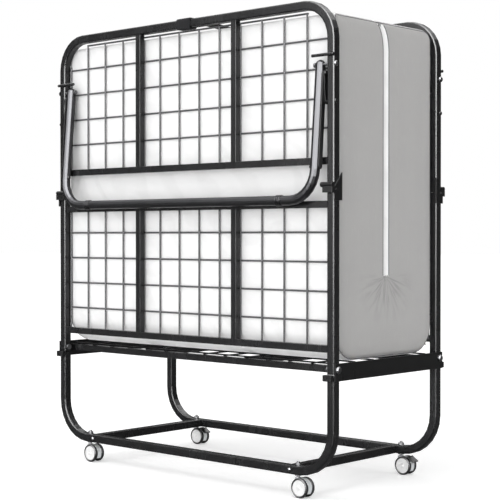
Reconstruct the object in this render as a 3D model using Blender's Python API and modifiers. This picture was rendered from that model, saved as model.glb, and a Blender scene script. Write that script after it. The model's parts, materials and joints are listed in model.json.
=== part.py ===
"""Rollaway bed, folded in half and standing on its castered base.

Metres, +Z up. The origin is on the floor under the middle of the base. The front faces -Y, and left
and right are as seen from the front, so right is +X. Each panel is built about its own pivot axis with
its outer face towards -Y, and the rear one is the same panel turned half a turn about Z.
"""
import math

import bmesh
import bpy
from mathutils import Vector

# Overall sizes
WIDTH = 0.900
DEPTH = 0.400
PIVOT_HEIGHT = 0.283
PANEL_REACH = 0.790
GAP = 0.0003
WELD = 0.00005
WELD_DEPTH = 0.001

# Main square tube of the base loops and the panels
TUBE = 0.020
TUBE_CORNER = 0.003
UPRIGHT_X = WIDTH / 2 - TUBE / 2
UPRIGHT_Y = DEPTH / 2 - TUBE / 2
UPRIGHT_INNER_X = UPRIGHT_X - TUBE / 2
UPRIGHT_OUTER_X = WIDTH / 2
BEND_SEGMENTS = 7

# Base
BASE_RAIL_HEIGHT = 0.0585
BASE_BEND = 0.090
LOOP_TOP_DROP = 0.015
BASE_SIDE_RAIL_X = 0.325
REST_REACH = 0.0115
REST_OVERHANG = 0.002
REST_TOP = -0.0103
REST_BOTTOM = -0.0235
PLATE_THICKNESS = 0.003
PLATE_TOP = 0.014
PLATE_BOTTOM = -0.024

# Panel frames, heights measured from the panel pivot
BAR = 0.015
BAR_Y = -0.0015
BAR_SINK = 0.002
TOP_BEND = 0.075
PANEL_HEEL = -0.010
BOTTOM_BAR_Z = 0.044
MIDDLE_LOW_BAR_Z = 0.352
MIDDLE_HIGH_BAR_Z = 0.4445
TOP_RAIL_Z = PANEL_REACH - TUBE / 2
HINGE_SPLIT_Z = 0.386
DIVIDER_X = 0.158

# Wire mesh
WIRE = 0.0036
WIRE_Y = 0.0086
WIRE_PITCH = 0.0656
WIRE_COLUMNS = 14
WIRE_SPACES = 5

# Deck between the two panel pivots
DECK_RAIL_Y = 0.165
DECK_RAIL_DROP = -0.0015
DECK_SIDE_RAIL_X = 0.4423
DECK_REACH_X = 0.446
DECK_WIRE_ROWS = 6

# Legs and their braces, measured in the panel frame
LEG_RADIUS = 0.011
LEG_X = 0.409
LEG_PIVOT_Y = -0.005
LEG_PIVOT_Z = 0.649
LEG_BEND = 0.065
LEG_REST_SPREAD = 0.024
LEG_SPLAY = math.radians(22.5)
LEG_LENGTH = (PIVOT_HEIGHT + LEG_PIVOT_Y - LEG_RADIUS) / math.cos(LEG_SPLAY)
LEG_TILT = math.asin(LEG_REST_SPREAD / LEG_LENGTH)
LEG_OPEN = math.pi / 2 + LEG_SPLAY
STOP_RADIUS = 0.0035
STOP_Z = 0.0197
STOP_SINK = 0.0005
STOP_INNER_X = 0.392
STOP_OUTER_X = 0.451
BRACE_DROP = 0.079
BRACE_ON_LEG = 0.218
BRACE_REST = math.radians(176.2)
LINK_WIDTH = 0.012
LINK_THICKNESS = 0.003
LINK_GAP = 0.0005
LOWER_LINK_X = LEG_X + LEG_RADIUS + LINK_GAP + LINK_THICKNESS / 2
UPPER_LINK_X = LOWER_LINK_X + LINK_THICKNESS + LINK_GAP

# Hinge brackets at the split in each upright, heights measured from the panel pivot
HINGE_THICKNESS = 0.0025
HINGE_FRONT_Y = -0.012
HINGE_BACK_Y = 0.0145
HINGE_LOW_Z = 0.360
HINGE_FRONT_TOP_Z = 0.388
HINGE_BACK_TOP_Z = 0.4195
HINGE_BLOCK_DEPTH = 0.010
HINGE_BLOCK_LOW_Z = 0.3765
HINGE_BLOCK_HIGH_Z = 0.3895
HINGE_BLOCK_OVERHANG = 0.004
HINGE_KNOB_RADIUS = 0.0055
HINGE_KNOB_Z = 0.3935
HINGE_KNOB_OVERHANG = 0.010
HINGE_HEAD_RADIUS = 0.0035
HINGE_HEAD_HEIGHT = 0.002
HINGE_HEAD_Y = -0.006
HINGE_HEAD_Z = 0.3825

# Fasteners
PANEL_BOLT_RADIUS = 0.004
PANEL_BOLT_HEAD_RADIUS = 0.008
PANEL_BOLT_HEAD_HEIGHT = 0.005
PANEL_NUT_RADIUS = 0.0065
LEG_BOLT_RADIUS = 0.0032
LEG_BOLT_HEAD_RADIUS = 0.0065
LEG_BOLT_HEAD_HEIGHT = 0.004
LEG_NUT_RADIUS = 0.0055
NUT_HEIGHT = 0.005
RIVET_RADIUS = 0.003
RIVET_HEAD_RADIUS = 0.005
RIVET_HEAD_HEIGHT = 0.0025
KNUCKLE_HEIGHT = 0.002
ROUND_STEPS = 12

# Casters
CASTER_X = 0.343
WHEEL_RADIUS = 0.022
WHEEL_HALF_WIDTH = 0.0155
WHEEL_INNER_Y = 0.006
TREAD_CHAMFER = 0.0015
DISC_INSET = 0.004
WHEEL_STEPS = 20
CASTER_TRAIL = 0.013
AXLE_RADIUS = 0.003
HOOD_RADIUS = 0.0212
HOOD_START = math.radians(-35)
HOOD_END = math.radians(118)
HOUSING_HALF_WIDTH = WHEEL_INNER_Y - GAP
HOUSING_FOOT = (0.001, -0.008)
HOUSING_HEEL_Z = 0.002
STEM_RADIUS = 0.0032
STEM_DEPTH = 0.0105
STEM_SOCKET = 0.009
STEM_NUT_RADIUS = 0.0068
STEM_NUT_HEIGHT = 0.006
STEM_TIP = 0.003
STEM_COLLAR_RADIUS = 0.0075
STEM_COLLAR_HEIGHT = 0.0017
LEVER_PIVOT_RADIUS = 0.0247
LEVER_ANGLE = math.radians(58)
LEVER_LENGTH = 0.019
LEVER_THICKNESS = 0.0024
LEVER_HUB_RADIUS = 0.0022
LEVER_WIDTH = 0.022

# Mattress, folded once, heights measured from the panel pivot
MATTRESS_HALF_WIDTH = 0.439
MATTRESS_OUTER_Y = 0.1785
MATTRESS_TOP = 0.760
MATTRESS_BOTTOM = 0.014
MATTRESS_CORNER = 0.065
MATTRESS_TOP_CORNER = 0.020
MATTRESS_SPLIT_GAP = 0.0006
MATTRESS_CUT = math.radians(225)
MATTRESS_CUT_HALF_GAP = math.radians(2)

# Closure strap
STRAP_WIDTH = 0.045
STRAP_THICKNESS = 0.0025
STRAP_CLEARANCE = 0.0004
STRAP_CORNER = 0.0018
STRAP_SPLIT_HALF_GAP = 0.001

SIDES = {"left": -1, "right": 1}


def clear_scene():
    """Remove every object and every collection of the open file."""
    for old in list(bpy.data.objects):
        bpy.data.objects.remove(old, do_unlink=True)
    for old in list(bpy.data.collections):
        bpy.data.collections.remove(old)


def make_collection():
    """The collection that holds every part of the bed."""
    collection = bpy.data.collections.new("rollaway_bed")
    bpy.context.scene.collection.children.link(collection)
    return collection


def make_material(name, color, roughness, metallic):
    """A plain Principled material."""
    material = bpy.data.materials.new(name)
    material.use_nodes = True
    shader = material.node_tree.nodes["Principled BSDF"]
    shader.inputs["Base Color"].default_value = (*color, 1.0)
    shader.inputs["Roughness"].default_value = roughness
    shader.inputs["Metallic"].default_value = metallic
    return material


def make_materials():
    """Every material of the bed, by name."""
    return {
        "black_tube": make_material("black_tube", (0.02, 0.02, 0.022), 0.38, 0.2),
        "black_plate": make_material("black_plate", (0.015, 0.015, 0.016), 0.45, 0.2),
        "black_wire": make_material("black_wire", (0.05, 0.05, 0.055), 0.4, 0.3),
        "leg_tube": make_material("leg_tube", (0.05, 0.05, 0.055), 0.25, 0.4),
        "zinc": make_material("zinc", (0.45, 0.45, 0.46), 0.35, 1.0),
        "wheel": make_material("wheel", (0.03, 0.03, 0.03), 0.5, 0.0),
        "hood": make_material("hood", (0.75, 0.76, 0.77), 0.2, 0.0),
        "lever": make_material("lever", (0.02, 0.02, 0.02), 0.4, 0.0),
        "ticking": make_material("ticking", (0.62, 0.62, 0.61), 0.9, 0.0),
        "webbing": make_material("webbing", (0.03, 0.03, 0.03), 0.85, 0.0),
    }


def new_object(name, data):
    """Link a new object to the scene so that it can be evaluated."""
    result = bpy.data.objects.new(name, data)
    bpy.context.scene.collection.objects.link(result)
    return result


def remove_object(old):
    """Remove an object and leave its data to be purged."""
    bpy.data.objects.remove(old, do_unlink=True)


def bake(source):
    """Replace an object by a welded mesh of its evaluated shape, faces out, in world space."""
    name = source.name
    bpy.context.view_layer.update()
    depsgraph = bpy.context.evaluated_depsgraph_get()
    mesh = bpy.data.meshes.new_from_object(source.evaluated_get(depsgraph))
    mesh.transform(source.matrix_world)
    remove_object(source)
    shape = bmesh.new()
    shape.from_mesh(mesh)
    bmesh.ops.remove_doubles(shape, verts=shape.verts, dist=WELD)
    bmesh.ops.recalc_face_normals(shape, faces=shape.faces)
    shape.to_mesh(mesh)
    shape.free()
    return new_object(name, mesh)


def combine(base, others, operation):
    """Join the other solids to the base, or cut them out of it."""
    for other in others:
        boolean = base.modifiers.new(other.name, "BOOLEAN")
        boolean.operation = operation
        boolean.solver = "EXACT"
        boolean.object = other
    result = bake(base)
    for other in others:
        remove_object(other)
    return result


def box(name, low, high):
    """A box between two corners."""
    mesh = bpy.data.meshes.new(name)
    shape = bmesh.new()
    bmesh.ops.create_cube(shape, size=1.0)
    size = Vector(high) - Vector(low)
    bmesh.ops.scale(shape, vec=size, verts=shape.verts)
    bmesh.ops.translate(shape, vec=(Vector(high) + Vector(low)) / 2, verts=shape.verts)
    shape.to_mesh(mesh)
    shape.free()
    return new_object(name, mesh)


def cylinder_x(name, radius, x_low, x_high, y, z, steps=ROUND_STEPS):
    """A round bar along X."""
    bpy.ops.mesh.primitive_cylinder_add(
        vertices=steps, radius=radius, depth=x_high - x_low,
        location=((x_low + x_high) / 2, y, z), rotation=(0, math.pi / 2, 0))
    result = bpy.context.active_object
    result.name = name
    return bake(result)


def cylinder_z(name, radius, z_low, z_high, x, y, steps=ROUND_STEPS):
    """A round bar along Z."""
    bpy.ops.mesh.primitive_cylinder_add(
        vertices=steps, radius=radius, depth=z_high - z_low, location=(x, y, (z_low + z_high) / 2))
    result = bpy.context.active_object
    result.name = name
    return bake(result)


def arc(centre, radius, start, end, segments):
    """Points on an arc in a plane, both ends included."""
    points = []
    for step in range(segments + 1):
        angle = start + (end - start) * step / segments
        points.append((centre[0] + radius * math.cos(angle), centre[1] + radius * math.sin(angle)))
    return points


def rounded_square(half, corner, segments):
    """The outline of a square with rounded corners, anticlockwise from its upper right corner."""
    centre = half - corner
    points = []
    for turn, (sign_x, sign_y) in enumerate(((1, 1), (-1, 1), (-1, -1), (1, -1))):
        start = turn * math.pi / 2
        points += arc((sign_x * centre, sign_y * centre), corner, start, start + math.pi / 2, segments)
    return points


def add_polyline(curve, points, cyclic):
    """Add one straight-sided spline to a curve, and return it."""
    spline = curve.splines.new("POLY")
    spline.points.add(len(points) - 1)
    for target, point in zip(spline.points, points):
        target.co = (*point, 0.0, 1.0) if len(point) == 2 else (*point, 1.0)
    spline.use_cyclic_u = cyclic
    return spline


def bent_path(corners, radius):
    """A path through the corners, with each square inner corner rounded by an arc."""
    points = [Vector(corners[0])]
    for before, here, after in zip(corners, corners[1:], corners[2:]):
        here = Vector(here)
        into = (here - Vector(before)).normalized()
        out = (Vector(after) - here).normalized()
        centre = here - into * radius + out * radius
        for step in range(BEND_SEGMENTS + 1):
            angle = math.pi / 2 * step / BEND_SEGMENTS
            points.append(centre - out * radius * math.cos(angle) + into * radius * math.sin(angle))
    points.append(Vector(corners[-1]))
    return points


def square_tube(name, points, size=TUBE, corner=TUBE_CORNER):
    """A rounded square bar swept along a path."""
    section_curve = bpy.data.curves.new(name + "_section", "CURVE")
    section_curve.dimensions = "2D"
    section_curve.fill_mode = "NONE"
    add_polyline(section_curve, rounded_square(size / 2, corner, 2), True)
    section = new_object(name + "_section", section_curve)
    curve = bpy.data.curves.new(name, "CURVE")
    curve.dimensions = "3D"
    curve.bevel_mode = "OBJECT"
    curve.bevel_object = section
    curve.use_fill_caps = True
    add_polyline(curve, points, False)
    result = bake(new_object(name, curve))
    remove_object(section)
    return result


def plate(name, outlines, thickness):
    """A flat plate in the XY plane, centred on it; outlines inside the first are holes."""
    curve = bpy.data.curves.new(name, "CURVE")
    curve.dimensions = "2D"
    curve.fill_mode = "BOTH"
    curve.extrude = thickness / 2
    for outline in outlines:
        add_polyline(curve, outline, True)
    return new_object(name, curve)


def plate_yz(name, outlines, x, thickness):
    """A flat plate whose outlines are in Y and Z, centred on one X."""
    result = plate(name, outlines, thickness)
    result.rotation_euler = (math.pi / 2, 0, math.pi / 2)
    result.location = (x, 0, 0)
    return bake(result)


def plate_xz(name, outlines, y, thickness):
    """A flat plate whose outlines are in X and Z, centred on one Y."""
    result = plate(name, outlines, thickness)
    result.rotation_euler = (math.pi / 2, 0, 0)
    result.location = (0, y, 0)
    return bake(result)


def circle_outline(centre, radius, steps=ROUND_STEPS):
    """A closed round outline."""
    return arc(centre, radius, 0, 2 * math.pi * (steps - 1) / steps, steps - 1)


def slot_outline(length, width):
    """A bar outline with round ends, from the origin down to -length, along the second axis."""
    return arc((0, 0), width / 2, 0, math.pi, 6) + arc((0, -length), width / 2, math.pi, 2 * math.pi, 6)


def turned(name, profile, steps=ROUND_STEPS):
    """A solid of revolution about Z; the profile of (radius, height) runs from top to bottom."""
    mesh = bpy.data.meshes.new(name)
    vertices = [(radius, 0, height) for radius, height in profile]
    edges = [(first, first + 1) for first in range(len(profile) - 1)]
    mesh.from_pydata(vertices, edges, [])
    result = new_object(name, mesh)
    screw = result.modifiers.new("Turn", "SCREW")
    screw.steps = steps
    screw.render_steps = steps
    screw.use_merge_vertices = True
    screw.merge_threshold = WELD
    return bake(result)


def turned_x(name, profile, location=(0, 0, 0), steps=ROUND_STEPS):
    """A solid of revolution whose top end points towards +X."""
    result = turned(name, profile, steps)
    result.rotation_euler = (0, math.pi / 2, 0)
    result.location = location
    return bake(result)


def shade(part, degrees=35):
    """Smooth shading with sharp edges where faces meet at more than the angle."""
    part.data.shade_smooth()
    part.data.set_sharp_from_angle(angle=math.radians(degrees))


def place(shape, name, collection, material, parent=None, location=(0, 0, 0), rotation=(0, 0, 0)):
    """Put one copy of a shape in the bed as a named part."""
    part = bpy.data.objects.new(name, shape.data)
    collection.objects.link(part)
    part.parent = parent
    part.location = location
    part.rotation_euler = rotation
    if not part.data.materials:
        part.data.materials.append(material)
    return part


def pivot(name, collection, location, rotation=(0, 0, 0), parent=None):
    """An empty on a joint's axis."""
    empty = bpy.data.objects.new(name, None)
    empty.empty_display_size = 0.05
    collection.objects.link(empty)
    empty.parent = parent
    empty.location = location
    empty.rotation_euler = rotation
    return empty


# --- Base ---------------------------------------------------------------------------------------


def base_loop_shape():
    """A bent U of square tube with the two rests that carry the opened panel."""
    top = PIVOT_HEIGHT - LOOP_TOP_DROP
    corners = [(-UPRIGHT_X, 0, top), (-UPRIGHT_X, 0, BASE_RAIL_HEIGHT),
               (UPRIGHT_X, 0, BASE_RAIL_HEIGHT), (UPRIGHT_X, 0, top)]
    loop = square_tube("base_loop", bent_path(corners, BASE_BEND))
    face = -TUBE / 2
    rests = []
    for sign in SIDES.values():
        low_x, high_x = sorted((sign * (UPRIGHT_INNER_X - REST_OVERHANG), sign * UPRIGHT_OUTER_X))
        rests.append(box("rest", (low_x, face - REST_REACH, PIVOT_HEIGHT + REST_BOTTOM),
                         (high_x, face - GAP, PIVOT_HEIGHT + REST_TOP)))
        rests.append(box("rest_root", (low_x + TUBE_CORNER, face - WELD_DEPTH, PIVOT_HEIGHT + REST_BOTTOM),
                         (high_x - TUBE_CORNER, face + WELD_DEPTH, PIVOT_HEIGHT - LOOP_TOP_DROP - GAP)))
    loop = combine(loop, rests, "UNION")
    holes = []
    for sign in SIDES.values():
        holes.append(cylinder_z("stem_hole", STEM_RADIUS + 2 * GAP, BASE_RAIL_HEIGHT - TUBE,
                                BASE_RAIL_HEIGHT + TUBE, sign * CASTER_X, 0))
    loop = combine(loop, holes, "DIFFERENCE")
    shade(loop)
    return loop


def base_side_rail_shape():
    """The straight square tube between the two base loops."""
    reach = UPRIGHT_Y - TUBE / 2 - GAP
    rail = square_tube("base_side_rail", [(0, -reach, 0), (0, reach, 0)])
    shade(rail)
    return rail


def side_plate_shape():
    """The deep flat bar that ties the two loops at pivot height, with a pivot hole at each end."""
    outline = [(-DEPTH / 2, PLATE_BOTTOM), (DEPTH / 2, PLATE_BOTTOM), (DEPTH / 2, PLATE_TOP),
               (-DEPTH / 2, PLATE_TOP)]
    holes = [circle_outline((sign * UPRIGHT_Y, 0), PANEL_BOLT_RADIUS + GAP) for sign in (-1, 1)]
    return plate_yz("side_plate", [outline] + holes, 0, PLATE_THICKNESS)


def deck_frame_shape():
    """The rectangle of square tube under the fold of the mattress, with two bars across it."""
    half = BAR / 2
    reach = DECK_RAIL_Y + half
    bars = []
    for sign in (-1, 1):
        y = sign * DECK_RAIL_Y
        bars.append(box("deck_rail", (-DECK_REACH_X, y - half, -half), (DECK_REACH_X, y + half, half)))
        x = sign * DECK_SIDE_RAIL_X
        bars.append(box("deck_side", (x - half, -reach, -half), (x + half, reach, half)))
        x = sign * DIVIDER_X
        bars.append(box("deck_divider", (x - half, -DECK_RAIL_Y, -half), (x + half, DECK_RAIL_Y, half)))
    return combine(bars[0], bars[1:], "UNION")


def wire_grid(columns, rows, drop_top_corners):
    """Outlines of a flat grid of wires: the outer edge, then every opening.

    columns and rows are the centre lines. With drop_top_corners, the two uppermost corner
    openings and the wires round them are left out, to clear the bent corners of the frame.
    """
    half = WIRE / 2
    left, right = columns[0] - half, columns[-1] + half
    low, high = rows[0] - half, rows[-1] + half
    if drop_top_corners:
        inner_left, inner_right = columns[1] - half, columns[-2] + half
        step = rows[-2] + half
        outer = [(left, low), (right, low), (right, step), (inner_right, step),
                 (inner_right, high), (inner_left, high), (inner_left, step), (left, step)]
    else:
        outer = [(left, low), (right, low), (right, high), (left, high)]
    openings = []
    for j, (z_low, z_high) in enumerate(zip(rows, rows[1:])):
        for i, (x_low, x_high) in enumerate(zip(columns, columns[1:])):
            at_corner = j == len(rows) - 2 and i in (0, len(columns) - 2)
            if drop_top_corners and at_corner:
                continue
            openings.append([(x_low + half, z_low + half), (x_high - half, z_low + half),
                             (x_high - half, z_high - half), (x_low + half, z_high - half)])
    return [outer] + openings


def even_lines(first, last, count):
    """Evenly spaced positions, both ends included."""
    return [first + (last - first) * index / (count - 1) for index in range(count)]


def wire_columns():
    """The X positions of the wires that run up a panel or across the deck."""
    reach = WIRE_PITCH * (WIRE_COLUMNS - 1) / 2
    return even_lines(-reach, reach, WIRE_COLUMNS)


def deck_mesh_shape():
    """The flat wire grid on top of the deck frame."""
    rows = even_lines(-DECK_RAIL_Y, DECK_RAIL_Y, DECK_WIRE_ROWS)
    grid = plate("deck_grid", wire_grid(wire_columns(), rows, False), WIRE)
    return bake(grid)


def bolt_profile(shank, head_radius, head_height, seat, nut_radius, tail):
    """Profile of a domed bolt and its nut; seat is the height under the head, tail that over the nut."""
    return [(0, seat + head_height), (0.7 * head_radius, seat + 0.9 * head_height),
            (head_radius, seat + 0.4 * head_height), (head_radius, seat), (shank, seat), (shank, tail),
            (nut_radius, tail), (nut_radius, tail - NUT_HEIGHT), (0, tail - NUT_HEIGHT)]


def panel_bolt_shape():
    """Round-headed pivot bolt with its nut, head towards +X, origin at the outer tube face."""
    profile = bolt_profile(PANEL_BOLT_RADIUS, PANEL_BOLT_HEAD_RADIUS, PANEL_BOLT_HEAD_HEIGHT,
                           PLATE_THICKNESS + 2 * GAP, PANEL_NUT_RADIUS, -TUBE - GAP)
    bolt = turned_x("panel_bolt", profile)
    shade(bolt)
    return bolt


def build_base(collection, materials):
    """Loops, rails, plates, deck and pivot bolts: everything that stays still."""
    loop = base_loop_shape()
    rail = base_side_rail_shape()
    side_plate = side_plate_shape()
    deck_frame = deck_frame_shape()
    deck_mesh = deck_mesh_shape()
    bolt = panel_bolt_shape()
    turned_back = (0, 0, math.pi)
    place(loop, "front_base_loop", collection, materials["black_tube"], location=(0, -UPRIGHT_Y, 0))
    place(loop, "rear_base_loop", collection, materials["black_tube"], location=(0, UPRIGHT_Y, 0),
          rotation=turned_back)
    plate_x = UPRIGHT_OUTER_X + GAP + PLATE_THICKNESS / 2
    for side, sign in SIDES.items():
        place(rail, side + "_base_rail", collection, materials["black_tube"],
              location=(sign * BASE_SIDE_RAIL_X, 0, BASE_RAIL_HEIGHT))
        place(side_plate, side + "_side_plate", collection, materials["black_plate"],
              location=(sign * plate_x, 0, PIVOT_HEIGHT))
        for row, row_sign in (("front", -1), ("rear", 1)):
            turn = (0, 0, 0) if sign > 0 else turned_back
            place(bolt, f"{row}_{side}_panel_bolt", collection, materials["zinc"],
                  location=(sign * UPRIGHT_OUTER_X, row_sign * UPRIGHT_Y, PIVOT_HEIGHT), rotation=turn)
    deck_z = PIVOT_HEIGHT + DECK_RAIL_DROP
    place(deck_frame, "deck_frame", collection, materials["black_tube"], location=(0, 0, deck_z))
    place(deck_mesh, "deck_mesh", collection, materials["black_wire"],
          location=(0, 0, deck_z + BAR / 2 + GAP + WIRE / 2))
    for shape in (loop, rail, side_plate, deck_frame, deck_mesh, bolt):
        remove_object(shape)


# --- Panels -------------------------------------------------------------------------------------


def cross_bar(z):
    """A crossbar between the two uprights."""
    reach = UPRIGHT_INNER_X + BAR_SINK
    return box("cross_bar", (-reach, BAR_Y - BAR / 2, z - BAR / 2), (reach, BAR_Y + BAR / 2, z + BAR / 2))


def dividers(z_low, z_high):
    """The two upright bars between two crossing rails."""
    return [box("divider", (sign * DIVIDER_X - BAR / 2, BAR_Y - BAR / 2, z_low),
                (sign * DIVIDER_X + BAR / 2, BAR_Y + BAR / 2, z_high)) for sign in (-1, 1)]


def stop_bars():
    """The two short round bars above the leg pivots, against which the opened leg rests."""
    bars = []
    for sign in SIDES.values():
        low, high = sorted((sign * STOP_INNER_X, sign * STOP_OUTER_X))
        bars.append(cylinder_x("stop_bar", STOP_RADIUS, low, high,
                               -TUBE / 2 - STOP_RADIUS + STOP_SINK, LEG_PIVOT_Z + STOP_Z))
    return bars


def upright_holes(y, z, radius):
    """Cutters for a pivot hole through both uprights."""
    holes = []
    for sign in SIDES.values():
        low, high = sorted((sign * (UPRIGHT_X - TUBE), sign * (UPRIGHT_X + TUBE)))
        holes.append(cylinder_x("pivot_hole", radius, low, high, y, z))
    return holes


def upper_frame_shape():
    """The upper U of a panel, with its crossbar, dividers and stop bars."""
    foot = HINGE_SPLIT_Z + GAP
    corners = [(-UPRIGHT_X, 0, foot), (-UPRIGHT_X, 0, TOP_RAIL_Z), (UPRIGHT_X, 0, TOP_RAIL_Z),
               (UPRIGHT_X, 0, foot)]
    frame = square_tube("upper_frame", bent_path(corners, TOP_BEND))
    bars = [cross_bar(MIDDLE_HIGH_BAR_Z)] + dividers(MIDDLE_HIGH_BAR_Z, TOP_RAIL_Z) + stop_bars()
    frame = combine(frame, bars, "UNION")
    holes = upright_holes(LEG_PIVOT_Y, LEG_PIVOT_Z, LEG_BOLT_RADIUS + GAP)
    holes += upright_holes(LEG_PIVOT_Y, LEG_PIVOT_Z - BRACE_DROP, RIVET_RADIUS + GAP)
    frame = combine(frame, holes, "DIFFERENCE")
    shade(frame)
    return frame


def lower_frame_shape():
    """The lower ladder of a panel: two uprights, two crossbars and two dividers."""
    head = HINGE_SPLIT_Z - GAP
    uprights = [square_tube("upright", [(sign * UPRIGHT_X, 0, PANEL_HEEL), (sign * UPRIGHT_X, 0, head)])
                for sign in (-1, 1)]
    bars = [cross_bar(BOTTOM_BAR_Z), cross_bar(MIDDLE_LOW_BAR_Z)] + dividers(BOTTOM_BAR_Z, MIDDLE_LOW_BAR_Z)
    frame = combine(bars[0], bars[1:] + uprights, "UNION")
    frame = combine(frame, upright_holes(0, 0, PANEL_BOLT_RADIUS + GAP), "DIFFERENCE")
    shade(frame)
    return frame


def upper_mesh_shape():
    """The flat wire grid of the upper section, whose last row clears the strap round the top rail."""
    rows = even_lines(MIDDLE_HIGH_BAR_Z, TOP_RAIL_Z, WIRE_SPACES + 1)
    rows[-1] = TOP_RAIL_Z - TUBE / 2 - STRAP_CLEARANCE - STRAP_THICKNESS - WIRE / 2 - GAP
    return plate_xz("upper_mesh", wire_grid(wire_columns(), rows, True), WIRE_Y, WIRE)


def lower_mesh_shape():
    """The flat wire grid of the lower section, behind its two crossbars."""
    rows = even_lines(BOTTOM_BAR_Z, MIDDLE_LOW_BAR_Z, WIRE_SPACES + 1)
    return plate_xz("lower_mesh", wire_grid(wire_columns(), rows, False), WIRE_Y, WIRE)


def middle_hinge_shape(sign):
    """The hinge bracket over the split in one upright: side plate, clevis block, knob and bolt head."""
    plate_low = UPRIGHT_OUTER_X + GAP
    plate_high = plate_low + HINGE_THICKNESS
    outline = [(HINGE_FRONT_Y, HINGE_LOW_Z), (HINGE_BACK_Y, HINGE_LOW_Z), (HINGE_BACK_Y, HINGE_BACK_TOP_Z),
               (HINGE_FRONT_Y, HINGE_FRONT_TOP_Z)]
    bracket = plate_yz("hinge_plate", [outline], sign * (plate_low + plate_high) / 2, HINGE_THICKNESS)
    front = -TUBE / 2 - GAP
    low, high = sorted((sign * (UPRIGHT_INNER_X - HINGE_BLOCK_OVERHANG), sign * plate_high))
    block = box("hinge_block", (low, front - HINGE_BLOCK_DEPTH, HINGE_BLOCK_LOW_Z),
                (high, front, HINGE_BLOCK_HIGH_Z))
    low, high = sorted((sign * (UPRIGHT_INNER_X - HINGE_KNOB_OVERHANG), sign * (plate_high - GAP)))
    knob = cylinder_x("hinge_knob", HINGE_KNOB_RADIUS, low, high, front - HINGE_KNOB_RADIUS, HINGE_KNOB_Z)
    low, high = sorted((sign * plate_low, sign * (plate_high + HINGE_HEAD_HEIGHT)))
    head = cylinder_x("hinge_head", HINGE_HEAD_RADIUS, low, high, HINGE_HEAD_Y, HINGE_HEAD_Z)
    bracket = combine(bracket, [block, knob, head], "UNION")
    shade(bracket)
    return bracket


def strap_shape():
    """Half of the closure strap: a band round the top rail and its tail over the mattress."""
    inner = TUBE / 2 + STRAP_CLEARANCE
    outer = inner + STRAP_THICKNESS
    hole = [(-inner, -inner), (inner, -inner), (inner, inner), (-inner, inner)]
    loop = plate_yz("strap", [rounded_square(outer, STRAP_CORNER, 2), hole], 0, STRAP_WIDTH)
    half = STRAP_WIDTH / 2 - GAP
    reach = UPRIGHT_Y - STRAP_SPLIT_HALF_GAP
    tail = box("strap_tail", (-half, TUBE / 4, inner + GAP), (half, reach, outer - GAP))
    band = combine(loop, [tail], "UNION")
    shade(band)
    return band


# --- Legs and braces ----------------------------------------------------------------------------


def leg_shape():
    """The bent U leg, built hanging straight down from its pivot axis."""
    ends = [math.radians(angle) for angle in (80, 55, 28)]
    corners = [(-LEG_X, 0, 0), (-LEG_X, 0, -LEG_LENGTH), (LEG_X, 0, -LEG_LENGTH), (LEG_X, 0, 0)]
    path = [Vector((-LEG_X, 0, LEG_RADIUS * math.sin(angle))) for angle in ends]
    path += bent_path(corners, LEG_BEND)
    path += [Vector((LEG_X, 0, LEG_RADIUS * math.sin(angle))) for angle in reversed(ends)]
    radii = [math.cos(angle) for angle in ends]
    radii += [1.0] * (len(path) - 2 * len(ends)) + [math.cos(angle) for angle in reversed(ends)]
    curve = bpy.data.curves.new("leg", "CURVE")
    curve.dimensions = "3D"
    curve.bevel_depth = LEG_RADIUS
    curve.bevel_resolution = 4
    curve.use_fill_caps = True
    spline = add_polyline(curve, path, False)
    for point, radius in zip(spline.points, radii):
        point.radius = radius
    leg = bake(new_object("leg", curve))
    holes = []
    for sign in SIDES.values():
        low, high = sign * LEG_X - 2 * LEG_RADIUS, sign * LEG_X + 2 * LEG_RADIUS
        holes.append(cylinder_x("bolt_hole", LEG_BOLT_RADIUS + GAP, low, high, 0, 0))
        holes.append(cylinder_x("rivet_hole", RIVET_RADIUS + GAP, low, high, 0, -BRACE_ON_LEG))
    leg = combine(leg, holes, "DIFFERENCE")
    shade(leg)
    return leg


def leg_bolt_shape():
    """Round-headed pivot bolt and nut of a leg, head towards +X, origin at the outer tube face."""
    tail = -(UPRIGHT_OUTER_X - LEG_X + LEG_RADIUS + GAP)
    profile = bolt_profile(LEG_BOLT_RADIUS, LEG_BOLT_HEAD_RADIUS, LEG_BOLT_HEAD_HEIGHT, GAP,
                           LEG_NUT_RADIUS, tail)
    bolt = turned_x("leg_bolt", profile)
    shade(bolt)
    return bolt


def brace_geometry():
    """Lengths of the two brace links, and the folded angle of the lower one from straight down.

    Folded, the upper link stands up from its rivet and the lower one hangs from its end to the leg.
    Their lengths together are the distance between the two rivets once the leg is open.
    """
    def leg_point(angle):
        return Vector((BRACE_ON_LEG * math.sin(angle), -BRACE_ON_LEG * math.cos(angle)))

    anchor = Vector((0, -BRACE_DROP))
    folded = leg_point(LEG_TILT) - anchor
    opened = leg_point(LEG_OPEN) - anchor
    direction = Vector((math.sin(BRACE_REST), -math.cos(BRACE_REST)))
    upper = (opened.length_squared - folded.length_squared) / (2 * (opened.length - folded.dot(direction)))
    to_knee = direction * upper - folded
    return upper, opened.length - upper, math.atan2(to_knee.x, -to_knee.y)


def rivet_head(seat, way):
    """Profile points of a rivet head whose flat side is at seat; way is 1 for a head above it."""
    height = way * RIVET_HEAD_HEIGHT
    return [(0, seat + height), (0.8 * RIVET_HEAD_RADIUS, seat + 0.8 * height), (RIVET_HEAD_RADIUS, seat)]


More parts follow.
